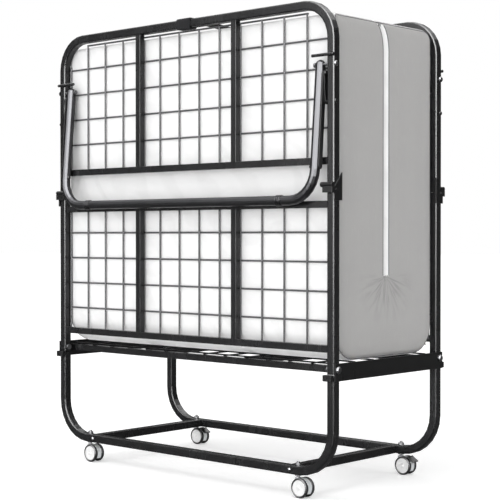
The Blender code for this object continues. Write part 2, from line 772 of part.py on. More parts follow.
def upper_link_shape(length):
    """The short brace link with its rivet through the upright, hanging down from the rivet axis."""
    outline = slot_outline(length, LINK_WIDTH)
    link = plate_yz("upper_link", [outline], UPPER_LINK_X, LINK_THICKNESS)
    head = UPRIGHT_OUTER_X + GAP
    rivet_profile = rivet_head(head, 1)
    rivet_profile += [(RIVET_RADIUS, head), (RIVET_RADIUS, UPPER_LINK_X), (0, UPPER_LINK_X)]
    rivet = turned_x("rivet", rivet_profile)
    face = UPPER_LINK_X + LINK_THICKNESS / 2
    root = face - LINK_THICKNESS / 3
    knuckle_profile = [(0, face + KNUCKLE_HEIGHT), (0.8 * RIVET_HEAD_RADIUS, face + 0.75 * KNUCKLE_HEIGHT),
                       (RIVET_HEAD_RADIUS, root), (0, root)]
    knuckle = turned_x("knuckle", knuckle_profile, (0, 0, -length))
    link = combine(link, [rivet, knuckle], "UNION")
    shade(link)
    return link


def lower_link_shape(length):
    """The long brace link with its rivet through the leg, hanging down from the rivet axis."""
    outline = slot_outline(length, LINK_WIDTH)
    link = plate_yz("lower_link", [outline], LOWER_LINK_X, LINK_THICKNESS)
    head = LEG_X - LEG_RADIUS - GAP
    profile = [(0, LOWER_LINK_X), (RIVET_RADIUS, LOWER_LINK_X), (RIVET_RADIUS, head)]
    profile += reversed(rivet_head(head, -1))
    link = combine(link, [turned_x("rivet", profile)], "UNION")
    shade(link)
    return link


def build_panels(collection, materials):
    """Both panels with their legs and braces, each about its own pivots."""
    upper_length, lower_length, lower_rest = brace_geometry()
    upper_frame = upper_frame_shape()
    lower_frame = lower_frame_shape()
    upper_mesh = upper_mesh_shape()
    lower_mesh = lower_mesh_shape()
    hinges = {sign: middle_hinge_shape(sign) for sign in (-1, 1)}
    strap = strap_shape()
    leg = leg_shape()
    leg_bolt = leg_bolt_shape()
    upper_link = upper_link_shape(upper_length)
    lower_link = lower_link_shape(lower_length)
    half_turn = math.pi
    for row, facing in (("front", 1), ("rear", -1)):
        heading = (0, 0, 0) if facing > 0 else (0, 0, half_turn)
        panel = pivot(f"{row}_panel_pivot", collection, (0, -facing * UPRIGHT_Y, PIVOT_HEIGHT), heading)
        swing = pivot(f"{row}_leg_pivot", collection, (0, LEG_PIVOT_Y, LEG_PIVOT_Z),
                      (-LEG_TILT, 0, 0), panel)
        place(upper_frame, f"{row}_upper_frame", collection, materials["black_tube"], panel)
        place(lower_frame, f"{row}_lower_frame", collection, materials["black_tube"], panel)
        place(upper_mesh, f"{row}_upper_mesh", collection, materials["black_wire"], panel)
        place(lower_mesh, f"{row}_lower_mesh", collection, materials["black_wire"], panel)
        place(strap, f"{row}_strap", collection, materials["webbing"], panel, (0, 0, TOP_RAIL_Z))
        place(leg, f"{row}_leg", collection, materials["leg_tube"], swing)
        for side, world_sign in SIDES.items():
            sign = world_sign * facing
            turn = 0 if sign > 0 else half_turn
            place(hinges[sign], f"{row}_{side}_middle_hinge", collection, materials["black_plate"], panel)
            place(leg_bolt, f"{row}_{side}_leg_bolt", collection, materials["zinc"], panel,
                  (sign * UPRIGHT_OUTER_X, LEG_PIVOT_Y, LEG_PIVOT_Z), (0, 0, turn))
            place(upper_link, f"{row}_{side}_upper_link", collection, materials["black_plate"], panel,
                  (0, LEG_PIVOT_Y, LEG_PIVOT_Z - BRACE_DROP), (-sign * BRACE_REST, 0, turn))
            place(lower_link, f"{row}_{side}_lower_link", collection, materials["black_plate"], swing,
                  (0, 0, -BRACE_ON_LEG), (sign * (LEG_TILT - lower_rest), 0, turn))
    shapes = [upper_frame, lower_frame, upper_mesh, lower_mesh, strap, leg, leg_bolt, upper_link, lower_link]
    for shape in shapes + list(hinges.values()):
        remove_object(shape)


# --- Casters ------------------------------------------------------------------------------------


def wheel_pair_shape():
    """Two wheels on one axle, turned about the axle, which lies along Y."""
    half, inner = WHEEL_HALF_WIDTH, WHEEL_INNER_Y
    right = [(0, half), (WHEEL_RADIUS - DISC_INSET, half), (WHEEL_RADIUS, half - DISC_INSET / 2),
             (WHEEL_RADIUS, inner + TREAD_CHAMFER), (WHEEL_RADIUS - TREAD_CHAMFER, inner),
             (AXLE_RADIUS, inner)]
    left = [(radius, -height) for radius, height in reversed(right)]
    wheels = turned("wheels", right + left, WHEEL_STEPS)
    wheels.rotation_euler = (math.pi / 2, 0, 0)
    wheels = bake(wheels)
    shade(wheels)
    return wheels


def housing_shape():
    """The swivelling hood between the wheels, origin on the stem axis at axle height."""
    hood = arc((CASTER_TRAIL, 0), HOOD_RADIUS, HOOD_START, HOOD_END, 12)
    column = HOUSING_HALF_WIDTH
    outline = hood + [(column, HOOD_RADIUS), (-column, HOOD_RADIUS), (-column, HOUSING_HEEL_Z), HOUSING_FOOT]
    hole = circle_outline((CASTER_TRAIL, 0), AXLE_RADIUS + GAP)
    body = plate("housing", [outline, hole], 2 * HOUSING_HALF_WIDTH)
    body.rotation_euler = (math.pi / 2, 0, 0)
    body = bake(body)
    stem_hole = cylinder_z("stem_hole", STEM_RADIUS + GAP, STEM_SOCKET, 2 * HOOD_RADIUS, 0, 0)
    body = combine(body, [stem_hole], "DIFFERENCE")
    shade(body)
    return body


def stem_shape():
    """The threaded caster stem with its collar under the rail and its nut on top of it."""
    underside = BASE_RAIL_HEIGHT - TUBE / 2
    rail_top = BASE_RAIL_HEIGHT + TUBE / 2
    nut_top = rail_top + STEM_NUT_HEIGHT
    collar = underside - GAP
    foot = WHEEL_RADIUS + STEM_DEPTH
    profile = [(0, nut_top + STEM_TIP), (STEM_RADIUS, nut_top + STEM_TIP), (STEM_RADIUS, nut_top),
               (STEM_NUT_RADIUS, nut_top - 2 * GAP), (STEM_NUT_RADIUS, rail_top + GAP),
               (STEM_RADIUS, rail_top + GAP), (STEM_RADIUS, collar), (STEM_COLLAR_RADIUS, collar),
               (STEM_COLLAR_RADIUS, collar - STEM_COLLAR_HEIGHT), (STEM_RADIUS, collar - STEM_COLLAR_HEIGHT),
               (STEM_RADIUS, foot), (0, foot)]
    stem = turned("stem", profile)
    shade(stem)
    return stem


def lever_shape():
    """The brake lever, origin on its hinge axis, reaching along +X before it is tilted."""
    half = LEVER_WIDTH / 2
    thick = LEVER_THICKNESS / 2
    blade = box("lever", (0, -half, -thick), (LEVER_LENGTH, half, thick))
    hub = cylinder_z("hub", LEVER_HUB_RADIUS, -half, half, 0, 0)
    hub.rotation_euler = (math.pi / 2, 0, 0)
    hub = bake(hub)
    lever = combine(hub, [blade], "UNION")
    shade(lever)
    return lever


def build_casters(collection, materials):
    """Four swivel casters, the rear two with brake levers."""
    wheels = wheel_pair_shape()
    housing = housing_shape()
    stem = stem_shape()
    lever = lever_shape()
    tangent = math.pi / 2 - LEVER_ANGLE
    for row, row_sign in (("front", -1), ("rear", 1)):
        for side, sign in SIDES.items():
            name = f"{row}_{side}"
            spot = (sign * CASTER_X, row_sign * UPRIGHT_Y, WHEEL_RADIUS)
            swivel = pivot(f"{name}_swivel", collection, spot)
            place(housing, f"{name}_caster_housing", collection, materials["hood"], swivel)
            place(wheels, f"{name}_caster_wheels", collection, materials["wheel"], swivel,
                  (CASTER_TRAIL, 0, 0))
            place(stem, f"{name}_caster_stem", collection, materials["zinc"],
                  location=(spot[0], spot[1], 0))
            if row == "rear":
                hinge = (CASTER_TRAIL + LEVER_PIVOT_RADIUS * math.cos(LEVER_ANGLE), 0,
                         LEVER_PIVOT_RADIUS * math.sin(LEVER_ANGLE))
                place(lever, f"{name}_brake_lever", collection, materials["lever"], swivel, hinge,
                      (0, tangent, 0))
    for shape in (wheels, housing, stem, lever):
        remove_object(shape)


# --- Mattress -----------------------------------------------------------------------------------


def mattress_outlines():
    """Outlines of the front half and of the fold, in Y and in height above the panel pivot.

    The cuts between them run from each panel pivot to the foot of the slit, so that a half swings
    away from the fold without touching it.
    """
    outer, corner, shift = MATTRESS_OUTER_Y, MATTRESS_CORNER, MATTRESS_SPLIT_GAP
    arc_centre = (-outer + corner, MATTRESS_BOTTOM + corner)
    lower_arc = arc(arc_centre, corner, math.pi, MATTRESS_CUT - MATTRESS_CUT_HALF_GAP, 4)
    top_corner = MATTRESS_TOP_CORNER
    top_centre = (-outer + top_corner, MATTRESS_TOP - top_corner)
    upper_arc = arc(top_centre, top_corner, math.pi / 2, math.pi, 4)
    half = upper_arc + lower_arc + [(-shift, UPRIGHT_Y + 2 * shift), (-shift, MATTRESS_TOP)]
    fold_left = arc(arc_centre, corner, MATTRESS_CUT + MATTRESS_CUT_HALF_GAP, 3 * math.pi / 2, 4)
    fold_right = [(-y, z) for y, z in reversed(fold_left)]
    fold = fold_left + fold_right + [(0, UPRIGHT_Y - 2 * shift)]
    return half, fold


def build_mattress(collection, materials):
    """The folded mattress as three plain solids: two halves and the fold between them."""
    half_outline, fold_outline = mattress_outlines()
    half = plate_yz("half", [half_outline], 0, 2 * MATTRESS_HALF_WIDTH)
    fold = plate_yz("fold", [fold_outline], 0, 2 * MATTRESS_HALF_WIDTH)
    centre = (0, 0, PIVOT_HEIGHT)
    place(half, "front_mattress_half", collection, materials["ticking"], location=centre)
    place(half, "rear_mattress_half", collection, materials["ticking"], location=centre,
          rotation=(0, 0, math.pi))
    place(fold, "mattress_fold", collection, materials["ticking"], location=centre)
    remove_object(half)
    remove_object(fold)


def build():
    """Make the whole bed."""
    clear_scene()
    collection = make_collection()
    materials = make_materials()
    build_base(collection, materials)
    build_panels(collection, materials)
    build_casters(collection, materials)
    build_mattress(collection, materials)


build()
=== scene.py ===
"""The looks of the folding rollaway bed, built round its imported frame.

Metres, +Z up, front towards -Y. The frame's metal parts keep their shape and get painted-steel
materials. The wire meshes, mattress, straps and caster wheels are built here as pieces of their own.
"""

import json
import math

import bmesh
import bpy
import numpy as np
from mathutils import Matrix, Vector


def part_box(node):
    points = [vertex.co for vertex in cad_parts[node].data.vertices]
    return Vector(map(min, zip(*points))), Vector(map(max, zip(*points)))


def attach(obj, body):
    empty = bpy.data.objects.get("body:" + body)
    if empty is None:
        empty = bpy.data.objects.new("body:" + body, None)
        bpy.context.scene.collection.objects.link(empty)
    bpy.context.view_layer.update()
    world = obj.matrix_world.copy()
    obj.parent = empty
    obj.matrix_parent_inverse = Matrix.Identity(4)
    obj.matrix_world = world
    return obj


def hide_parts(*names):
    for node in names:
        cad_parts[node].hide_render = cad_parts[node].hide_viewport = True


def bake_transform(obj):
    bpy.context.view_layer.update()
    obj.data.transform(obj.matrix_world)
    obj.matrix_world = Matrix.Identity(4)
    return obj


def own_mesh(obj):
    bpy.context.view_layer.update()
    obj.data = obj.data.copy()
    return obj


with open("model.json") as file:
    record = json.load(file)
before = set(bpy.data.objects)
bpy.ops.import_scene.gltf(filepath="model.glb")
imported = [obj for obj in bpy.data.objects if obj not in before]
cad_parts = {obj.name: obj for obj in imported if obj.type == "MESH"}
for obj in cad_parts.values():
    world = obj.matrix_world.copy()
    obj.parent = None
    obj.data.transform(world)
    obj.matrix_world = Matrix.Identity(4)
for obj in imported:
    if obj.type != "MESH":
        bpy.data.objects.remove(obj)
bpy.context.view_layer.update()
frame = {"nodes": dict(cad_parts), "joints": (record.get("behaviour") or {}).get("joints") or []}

ROWS = {"front": -1, "rear": 1}
SIDES = {"left": -1, "right": 1}
JOINTS = {joint["name"]: joint for joint in frame["joints"]}
PIVOT_HEIGHT = JOINTS["front_panel_fold"]["pos_m"][2]
PIVOT_REACH = abs(JOINTS["front_panel_fold"]["pos_m"][1])

# Meshing
ROUND_RESOLUTION = 3
TURNED_SHARP_DEGREES = 40
SOFT_SHARP_DEGREES = 50
SIDE_STEP = 0.0065
GUSSET_SIDE_STEP = 0.014
EDGE_STEP = 0.003
HALF_ROWS = 128
HALF_COLUMNS = 44
FOLD_ROWS = 46
FOLD_COLUMNS = 34
GUSSET_LAYERS = 24
GUSSET_ROWS = 30

# Round wires
UPRIGHT_WIRE_RADIUS = 0.00215
CROSS_WIRE_RADIUS = 0.0022
UPRIGHT_WIRE_SHIFT = 0.00035
CROSS_WIRE_SHIFT = -0.0008
CROSS_WIRE_REACH = 0.4305
PANEL_COLUMNS = 14
PANEL_ROWS = 6
DECK_WIRE_RADIUS = 0.0019
ROW_PITCH = 0.0635
FIRST_ROW = {"upper": 0.5159, "lower": 0.1018}
WIRE_END = 0.0298

# Mattress, heights measured from the panel pivots
MATTRESS_BULGE = 0.0045
MATTRESS_EDGE = 0.012
BOTTOM_CORNER = 0.065
TOP_CORNER = {"front": 0.008, "rear": 0.026}
SLIT_CORNER = 0.006
HALF_CUT_TURN = 224
FOLD_CUT_TURN = 226
FOLD_TIP_TURN = 47
FOLD_TIP_THICKNESS = 0.0012
SLIT_RISE = 0.004
CUT_GAP = 0.0002
GUSSET_THICKNESS = 0.0003
GUSSET_START = 0.1582
SEAM_REACH = 0.0105
SEAM_INSET = 0.002
LIP_DROP = 0.009
LEAN_START = 0.694
LEAN_LENGTH = 0.064
LEAN = 0.036
FOLD_REACH = 0.125
FOLDS_PER_RADIAN = 6.5
FOLD_WAVER = 16.0
CROWN_RISE = 0.045
CROWN_REACH = 0.2
QUILT_DEPTH = 0.0011
CREASE_DEPTH = 0.0030
SIDE_FADE = 0.030
END_FADE = 0.040
SLIT_PUFF = 0.0006
TOP_PUFF = 0.005
PIPING_RADIUS = 0.0013
SEAM_CORD_SHARE = 0.8

# Closure strap
TOP_STRAP_LAP = 0.006
STRAP_SAG = 0.007
STRAP_THICKNESS = 0.0022
STRAP_CORNER = 0.004

# Swaged collars on the bottom bar of each leg
LEG_RADIUS = 0.011
COLLAR_X = 0.315
COLLAR_HALF_WIDTH = 0.0085

# Studio light
AMBIENT = 0.85
SOFTBOX_AZIMUTH = 25
SOFTBOX_EDGE = (0.40, 1.0)
SOFTBOX_GLOW = 21.0
ROOM_GLOW = 0.10
CEILING_EDGE = (0.45, 0.8)
CEILING_GLOW = 4.0
FLOOR_REFLECTED = 0.18
FLOOR_GLOW = 0.29

# Camera, fitted to the viewing angle of the picture
CAMERA_POSITION = (2.196, -2.381, 0.569)
CAMERA_AZIMUTH = math.radians(42.32)
CAMERA_PITCH = math.radians(-0.64)
CAMERA_LENS = 95.1
SENSOR_WIDTH = 36.0


# --- Materials ---


class Graph:
    """A shader in the making, with short calls that add nodes and join them."""

    def __init__(self, tree):
        """Start from the nodes that the tree already has."""
        self.tree = tree

    def feed(self, target, value):
        """Give an input a value or a socket."""
        if isinstance(value, bpy.types.NodeSocket):
            self.tree.links.new(value, target)
        else:
            target.default_value = value

    def add(self, kind, inputs=None, **settings):
        """A new node, with its settings and its inputs by name or index."""
        node = self.tree.nodes.new(kind)
        for name, value in settings.items():
            setattr(node, name, value)
        for name, value in (inputs or {}).items():
            self.feed(node.inputs[name], value)
        return node

    def between(self, share, low, high):
        """A value that runs from low to high as share runs from 0 to 1."""
        return self.add("ShaderNodeMapRange", {"Value": share, 3: low, 4: high}).outputs[0]

    def sharpened(self, share, start, end, low=0.0, high=1.0):
        """Low before start, high after end, smooth in between."""
        inputs = {"Value": share, 1: start, 2: end, 3: low, 4: high}
        return self.add("ShaderNodeMapRange", inputs, interpolation_type="SMOOTHSTEP").outputs[0]

    def maths(self, operation, first, second=0.0):
        """One sum on one or two numbers or sockets."""
        return self.add("ShaderNodeMath", {0: first, 1: second}, operation=operation).outputs[0]

    def vector_maths(self, operation, first, second=(0.0, 0.0, 0.0)):
        """The node of one sum on one or two vectors or sockets."""
        return self.add("ShaderNodeVectorMath", {0: first, 1: second}, operation=operation)


class Finish(Graph):
    """A material in the making."""

    def __init__(self, name, color, roughness, metallic=0.0, rest=False):
        """Start from plain values; rest keeps the patterns still on a surface that changes shape."""
        self.material = bpy.data.materials.new(name)
        self.material.use_nodes = True
        super().__init__(self.material.node_tree)
        self.set("Base Color", (*color, 1.0))
        self.set("Roughness", roughness)
        self.set("Metallic", metallic)
        if rest:
            self.place = self.add("ShaderNodeAttribute", attribute_name="rest").outputs["Vector"]
        else:
            self.place = self.add("ShaderNodeTexCoord").outputs["Object"]

    def set(self, name, value):
        """Give one input of the shader a value or a socket."""
        self.feed(self.tree.nodes["Principled BSDF"].inputs[name], value)

    def noise(self, scale, detail=3.0, stretch=(1.0, 1.0, 1.0)):
        """Smooth noise from 0 to 1; scale is in lumps per metre."""
        place = self.add("ShaderNodeMapping", {"Vector": self.place, "Scale": stretch}).outputs[0]
        settings = {"Vector": place, "Scale": scale, "Detail": detail, "Roughness": 0.55}
        return self.add("ShaderNodeTexNoise", settings).outputs["Fac"]

    def ribs(self, scale, axis, distortion=0.0):
        """Parallel ribs along an axis, from 0 to 1."""
        settings = {"Vector": self.place, "Scale": scale, "Distortion": distortion, "Detail": 1.0}
        return self.add("ShaderNodeTexWave", settings, bands_direction=axis).outputs["Fac"]

    def mix(self, share, first, second):
        """A colour between two colours or sockets."""
        inputs = {"Fac": share, "Color1": first, "Color2": second}
        return self.add("ShaderNodeMixRGB", inputs).outputs[0]

    def bump(self, height, distance, strength=1.0, normal=None):
        """A bump that uses a height from 0 to 1, distance metres deep."""
        inputs = {"Height": height, "Distance": distance, "Strength": strength}
        if normal:
            inputs["Normal"] = normal
        return self.add("ShaderNodeBump", inputs).outputs["Normal"]

    def rounded_edges(self, radius):
        """The surface normal with edges rounded, and a mask of the edges."""
        normal = self.add("ShaderNodeBevel", {"Radius": radius}, samples=6).outputs["Normal"]
        flat = self.add("ShaderNodeNewGeometry").outputs["Normal"]
        match = self.vector_maths("DOT_PRODUCT", normal, flat).outputs["Value"]
        return normal, self.maths("SUBTRACT", 1.0, match)


def shade_of(color, factor):
    """A colour scaled, with its alpha."""
    return (*(min(1.0, channel * factor) for channel in color), 1.0)


def painted_steel(name, color, roughness, metallic=0.0, radius=0.0014, specular=0.5):
    """Gloss black paint on steel: orange peel, soft tone changes, rub marks and thinner paint on edges."""
    finish = Finish(name, color, roughness, metallic)
    cloudy = finish.noise(14.0)
    streaks = finish.noise(60.0, 2.0, (1.0, 1.0, 0.15))
    peel = finish.noise(1400.0, 1.0)
    normal, edges = finish.rounded_edges(radius)
    worn = finish.sharpened(finish.maths("MULTIPLY", edges, finish.noise(220.0)), 0.06, 0.30)
    base = finish.mix(cloudy, shade_of(color, 0.75), shade_of(color, 1.25))
    finish.set("Base Color", finish.mix(worn, base, shade_of(color, 4.5)))
    smear = finish.maths("ADD", finish.between(cloudy, -0.05, 0.05), finish.between(streaks, -0.05, 0.05))
    finish.set("Roughness", finish.maths("ADD", smear, roughness))
    finish.set("Normal", finish.bump(peel, 0.00003, 0.35, normal))
    finish.set("Specular IOR Level", specular)
    return finish.material


def plated_steel(name, color, roughness):
    """Zinc-plated fastener: crystalline tone, lighter edges, fine grain and dull spots."""
    finish = Finish(name, color, roughness, 0.9)
    crystals = finish.noise(700.0, 2.0)
    dull = finish.noise(160.0)
    normal, edges = finish.rounded_edges(0.0006)
    base = finish.mix(crystals, shade_of(color, 0.7), shade_of(color, 1.2))
    finish.set("Base Color", finish.mix(edges, base, shade_of(color, 1.8)))
    finish.set("Roughness", finish.between(dull, roughness - 0.1, roughness + 0.15))
    finish.set("Normal", finish.bump(finish.noise(2600.0, 1.0), 0.00002, 0.4, normal))
    return finish.material


def moulded_plastic(name, color, roughness, clear=0.0):
    """Injection-moulded plastic: fine grain, faint flow marks and scuffs."""
    finish = Finish(name, color, roughness)
    flow = finish.noise(90.0, 2.0, (1.0, 1.0, 0.3))
    scuffs = finish.sharpened(finish.noise(900.0, 4.0), 0.62, 0.75)
    normal, edges = finish.rounded_edges(0.0008)
    base = finish.mix(flow, shade_of(color, 0.88), shade_of(color, 1.06))
    finish.set("Base Color", finish.mix(finish.maths("MULTIPLY", edges, 0.5), base, shade_of(color, 1.5)))
    finish.set("Roughness", finish.maths("ADD", finish.between(flow, -0.05, 0.05),
                                         finish.between(scuffs, roughness, roughness + 0.2)))
    finish.set("Normal", finish.bump(finish.noise(3000.0, 1.0), 0.00002, 0.4, normal))
    finish.set("Subsurface Weight", clear)
    finish.set("Subsurface Radius", (0.004, 0.004, 0.005))
    return finish.material


def tyre_rubber(name):
    """Black polyurethane tread with fine grain and a dusty bloom."""
    finish = Finish(name, (0.012, 0.012, 0.013), 0.55)
    dust = finish.sharpened(finish.noise(240.0, 4.0), 0.5, 0.8)
    finish.set("Base Color", finish.mix(dust, (0.010, 0.010, 0.011, 1.0), (0.035, 0.034, 0.033, 1.0)))
    finish.set("Roughness", finish.between(dust, 0.42, 0.7))
    finish.set("Normal", finish.bump(finish.noise(1800.0, 2.0), 0.00008, 0.5))
    return finish.material


def weave(finish, threads):
    """Height of a plain weave: warp and weft ribs that pass over each other."""
    warp = finish.ribs(threads, "X")
    weft = finish.ribs(threads, "Z")
    across = finish.ribs(threads, "Y")
    over = finish.maths("MULTIPLY", warp, weft)
    under = finish.maths("MULTIPLY", across, weft)
    return finish.maths("MAXIMUM", over, under)


def quilted_ticking(name):
    """White knitted mattress ticking with faint sunken swirl lines, whose shade is painted in slightly
    darker.
    """
    color = (0.85, 0.85, 0.85)
    finish = Finish(name, color, 0.85, rest=True)
    swirl = finish.ribs(5.5, "DIAGONAL", 9.0)
    cloudy = finish.noise(26.0, 3.0)
    fibres = finish.noise(1900.0, 2.0)
    # Painted shade: the sunken swirl lines are painted up to 6 % darker.
    tone = finish.mix(finish.sharpened(swirl, 0.1, 0.6), shade_of(color, 0.94), shade_of(color, 1.0))
    finish.set("Base Color", finish.mix(finish.between(cloudy, 0.0, 0.5), tone, shade_of(color, 1.04)))
    finish.set("Roughness", finish.between(fibres, 0.75, 0.95))
    deep = finish.bump(finish.sharpened(swirl, 0.0, 0.5), 0.0012, 0.35)
    loops = finish.bump(weave(finish, 190.0), 0.00025, 0.35, deep)
    finish.set("Normal", finish.bump(fibres, 0.0002, 0.3, loops))
    finish.set("Specular IOR Level", 0.1)
    finish.set("Sheen Weight", 0.1)
    return finish.material


def fan_of_folds(finish):
    """Fine folds that fan out below the foot of the slit, from 0 to 1."""
    foot = PIVOT_HEIGHT + PIVOT_REACH + SLIT_RISE
    place = finish.add("ShaderNodeSeparateXYZ", {0: finish.place}).outputs
    down = finish.maths("SUBTRACT", foot, place["Z"])
    angle = finish.maths("ARCTAN2", place["Y"], down)
    squares = finish.maths("ADD", finish.maths("MULTIPLY", place["Y"], place["Y"]),
                           finish.maths("MULTIPLY", down, down))
    span = finish.maths("SQRT", squares)
    fan = finish.add("ShaderNodeCombineXYZ", {"X": finish.maths("MULTIPLY", angle, FOLDS_PER_RADIAN),
                                              "Y": finish.maths("MULTIPLY", span, FOLD_WAVER)}).outputs[0]
    lines = finish.add("ShaderNodeTexNoise", {"Vector": fan, "Scale": 1.0, "Detail": 1.0}).outputs["Fac"]
    near = finish.sharpened(span, FOLD_REACH, FOLD_REACH / 8)
    below = finish.sharpened(finish.maths("ABSOLUTE", angle), 1.9, 1.2)
    folds = finish.sharpened(lines, 0.42, 0.66)
    return finish.maths("MULTIPLY", folds, finish.maths("MULTIPLY", near, below))


def border_fabric(name):
    """Smooth grey woven border of the mattress, with slubs, a soft bloom and folds at the slit; the folds
    and the hollows of the weave get painted shade.
    """
    color = (0.322, 0.318, 0.313)
    finish = Finish(name, color, 0.8, rest=True)
    cloudy = finish.noise(9.0, 3.0)
    slubs = finish.noise(420.0, 2.0, (1.0, 1.0, 0.08))
    threads = weave(finish, 240.0)
    tone = finish.mix(cloudy, shade_of(color, 0.94), shade_of(color, 1.05))
    tone = finish.mix(finish.sharpened(slubs, 0.55, 0.8), tone, shade_of(color, 1.10))
    # Painted shade: the hollows between the threads are painted darker.
    tone = finish.mix(finish.between(threads, 0.15, 0.0), tone, shade_of(color, 0.7))
    folds = fan_of_folds(finish)
    # Painted shade: the folds below the slit are painted darker, as well as bumped.
    finish.set("Base Color", finish.mix(finish.maths("MULTIPLY", folds, 0.7), tone, shade_of(color, 0.6)))
    finish.set("Roughness", finish.between(slubs, 0.70, 0.9))
    creases = finish.bump(finish.noise(22.0, 3.0), 0.0015, 0.25)
    creases = finish.bump(folds, 0.002, 0.5, creases)
    finish.set("Normal", finish.bump(threads, 0.00025, 0.4, creases))
    finish.set("Sheen Weight", 0.12)
    return finish.material


def cord_fabric(name):
    """Twisted grey cord of the mattress piping, painted darker in the grooves of the twist and lighter on
    its strands as painted shade and highlight.
    """
    color = (0.12, 0.118, 0.125)
    finish = Finish(name, color, 0.85)
    twist = finish.ribs(170.0, "DIAGONAL")
    # Painted shade and highlight: the twist is darker in its grooves and lighter on its crests.
    finish.set("Base Color", finish.mix(twist, shade_of(color, 0.6), shade_of(color, 1.35)))
    finish.set("Roughness", finish.between(finish.noise(600.0), 0.75, 0.95))
    finish.set("Normal", finish.bump(twist, 0.0003, 0.7))
    return finish.material


def woven_webbing(name):
    """Black strap webbing: ribs across the strap and lines along it, painted lighter on their crests and
    darker in their hollows, and slight fuzz.
    """
    color = (0.016, 0.016, 0.017)
    finish = Finish(name, color, 0.8)
    ribs = finish.ribs(150.0, "Y")
    columns = finish.ribs(60.0, "X")
    fuzz = finish.noise(1500.0, 3.0)
    # Painted highlight and shade: the crests of the ribs are painted lighter and the hollows darker.
    tone = finish.mix(finish.maths("MULTIPLY", ribs, columns), shade_of(color, 0.6), shade_of(color, 2.2))
    finish.set("Base Color", finish.mix(finish.between(fuzz, 0.0, 0.3), tone, shade_of(color, 3.0)))
    finish.set("Roughness", finish.between(fuzz, 0.7, 0.95))
    finish.set("Normal", finish.bump(ribs, 0.0003, 0.6, finish.bump(columns, 0.0003, 0.4)))
    finish.set("Specular IOR Level", 0.05)
    return finish.material


def make_finishes():
    """Every material of the bed, by the name of its slot or its use."""
    return {
        "black_tube": painted_steel("black_tube", (0.0075, 0.0075, 0.008), 0.26, specular=0.4),
        "black_plate": painted_steel("black_plate", (0.006, 0.006, 0.0063), 0.30, radius=0.0008,
                                     specular=0.3),
        "black_wire": painted_steel("black_wire", (0.006, 0.006, 0.0063), 0.35, radius=0.0004,
                                    specular=0.1),
        # Painted light: the same black steel as the cross wires, painted lighter for the light the upright
        # wires catch.
        "lit_wire": painted_steel("lit_wire", (0.065, 0.065, 0.068), 0.40, radius=0.0004, specular=0.3),
        "leg_tube": painted_steel("leg_tube", (0.035, 0.035, 0.037), 0.34, 0.85),
        "zinc": plated_steel("zinc", (0.12, 0.12, 0.124), 0.34),
        "wheel": tyre_rubber("wheel"),
        "hub": moulded_plastic("hub", (0.80, 0.80, 0.80), 0.32),
        "hood": moulded_plastic("hood", (0.66, 0.68, 0.69), 0.18, clear=0.3),
        "lever": moulded_plastic("lever", (0.012, 0.012, 0.012), 0.35),
        "ticking": quilted_ticking("ticking"),
        "border": border_fabric("border"),
        "cord": cord_fabric("cord"),
        "webbing": woven_webbing("webbing"),
    }


def dress_frame(finishes):
    """Give every kept CAD node the finish of its slot."""
    for node in frame["nodes"].values():
        for slot in node.material_slots:
            slot.material = finishes[slot.material.name.split(".")[0]]


# --- Mesh helpers ---


def link_object(name, data, materials):
    """A new object in the scene, with its materials."""
    piece = bpy.data.objects.new(name, data)
    bpy.context.scene.collection.objects.link(piece)
    for material in materials:
        data.materials.append(material)
    return piece


def close_mesh(mesh, sharp_degrees):
    """Weld the mesh, face it outwards and shade it smooth up to an angle."""
    shape = bmesh.new()
    shape.from_mesh(mesh)
    bmesh.ops.remove_doubles(shape, verts=shape.verts, dist=0.000001)
    bmesh.ops.recalc_face_normals(shape, faces=shape.faces)
    shape.to_mesh(mesh)
    shape.free()
    mesh.shade_smooth()
    mesh.set_sharp_from_angle(angle=math.radians(sharp_degrees))


def turned(name, bands, steps, centre, axis, materials):
    """A solid of revolution about X or Y; bands are (material index, profile of (height, radius)).

    The profiles follow each other from one end to the other, and the first and last point may lie
    on the axis. When they don't, the last point joins the first, which makes a ring.
    """
    profile = []
    band_of = []
    for index, points in bands:
        profile += points
        band_of += [index] * len(points)
    count = len(profile)
    angles = np.linspace(0, 2 * math.pi, steps, endpoint=False)
    points = np.zeros((steps, count, 3))
    for column, (height, radius) in enumerate(profile):
        along = {"X": (0, 1, 2), "Y": (1, 2, 0)}[axis]
        points[:, column, along[0]] = height
        points[:, column, along[1]] = radius * np.cos(angles)
        points[:, column, along[2]] = radius * np.sin(angles)
    closed = profile[0][1] > 0
    faces = []
    indices = []
    for step in range(steps):
        after = (step + 1) % steps
        for column in range(count if closed else count - 1):
            beside = (column + 1) % count
            faces.append((step * count + column, step * count + beside,
                          after * count + beside, after * count + column))
            indices.append(band_of[beside])
    mesh = bpy.data.meshes.new(name)
    mesh.from_pydata((points.reshape(-1, 3) + np.array(centre)).tolist(), [], faces)
    mesh.polygons.foreach_set("material_index", indices)
    close_mesh(mesh, TURNED_SHARP_DEGREES)
    return link_object(name, mesh, materials)


def add_cord(curve, points, thickness=1.0, material=0):
    """Add one straight-sided strand to a curve."""
    spline = curve.splines.new("POLY")
    spline.points.add(len(points) - 1)
    for target, point in zip(spline.points, points):
        target.co = (*point, 1.0)
        target.radius = thickness
    spline.use_smooth = True
    spline.material_index = material


def round_curve(name, radius):
    """An empty curve whose strands are round bars."""
    curve = bpy.data.curves.new(name, "CURVE")
    curve.dimensions = "3D"
    curve.bevel_depth = radius
    curve.bevel_resolution = ROUND_RESOLUTION
    curve.use_fill_caps = True
    return curve


# --- Wires ---


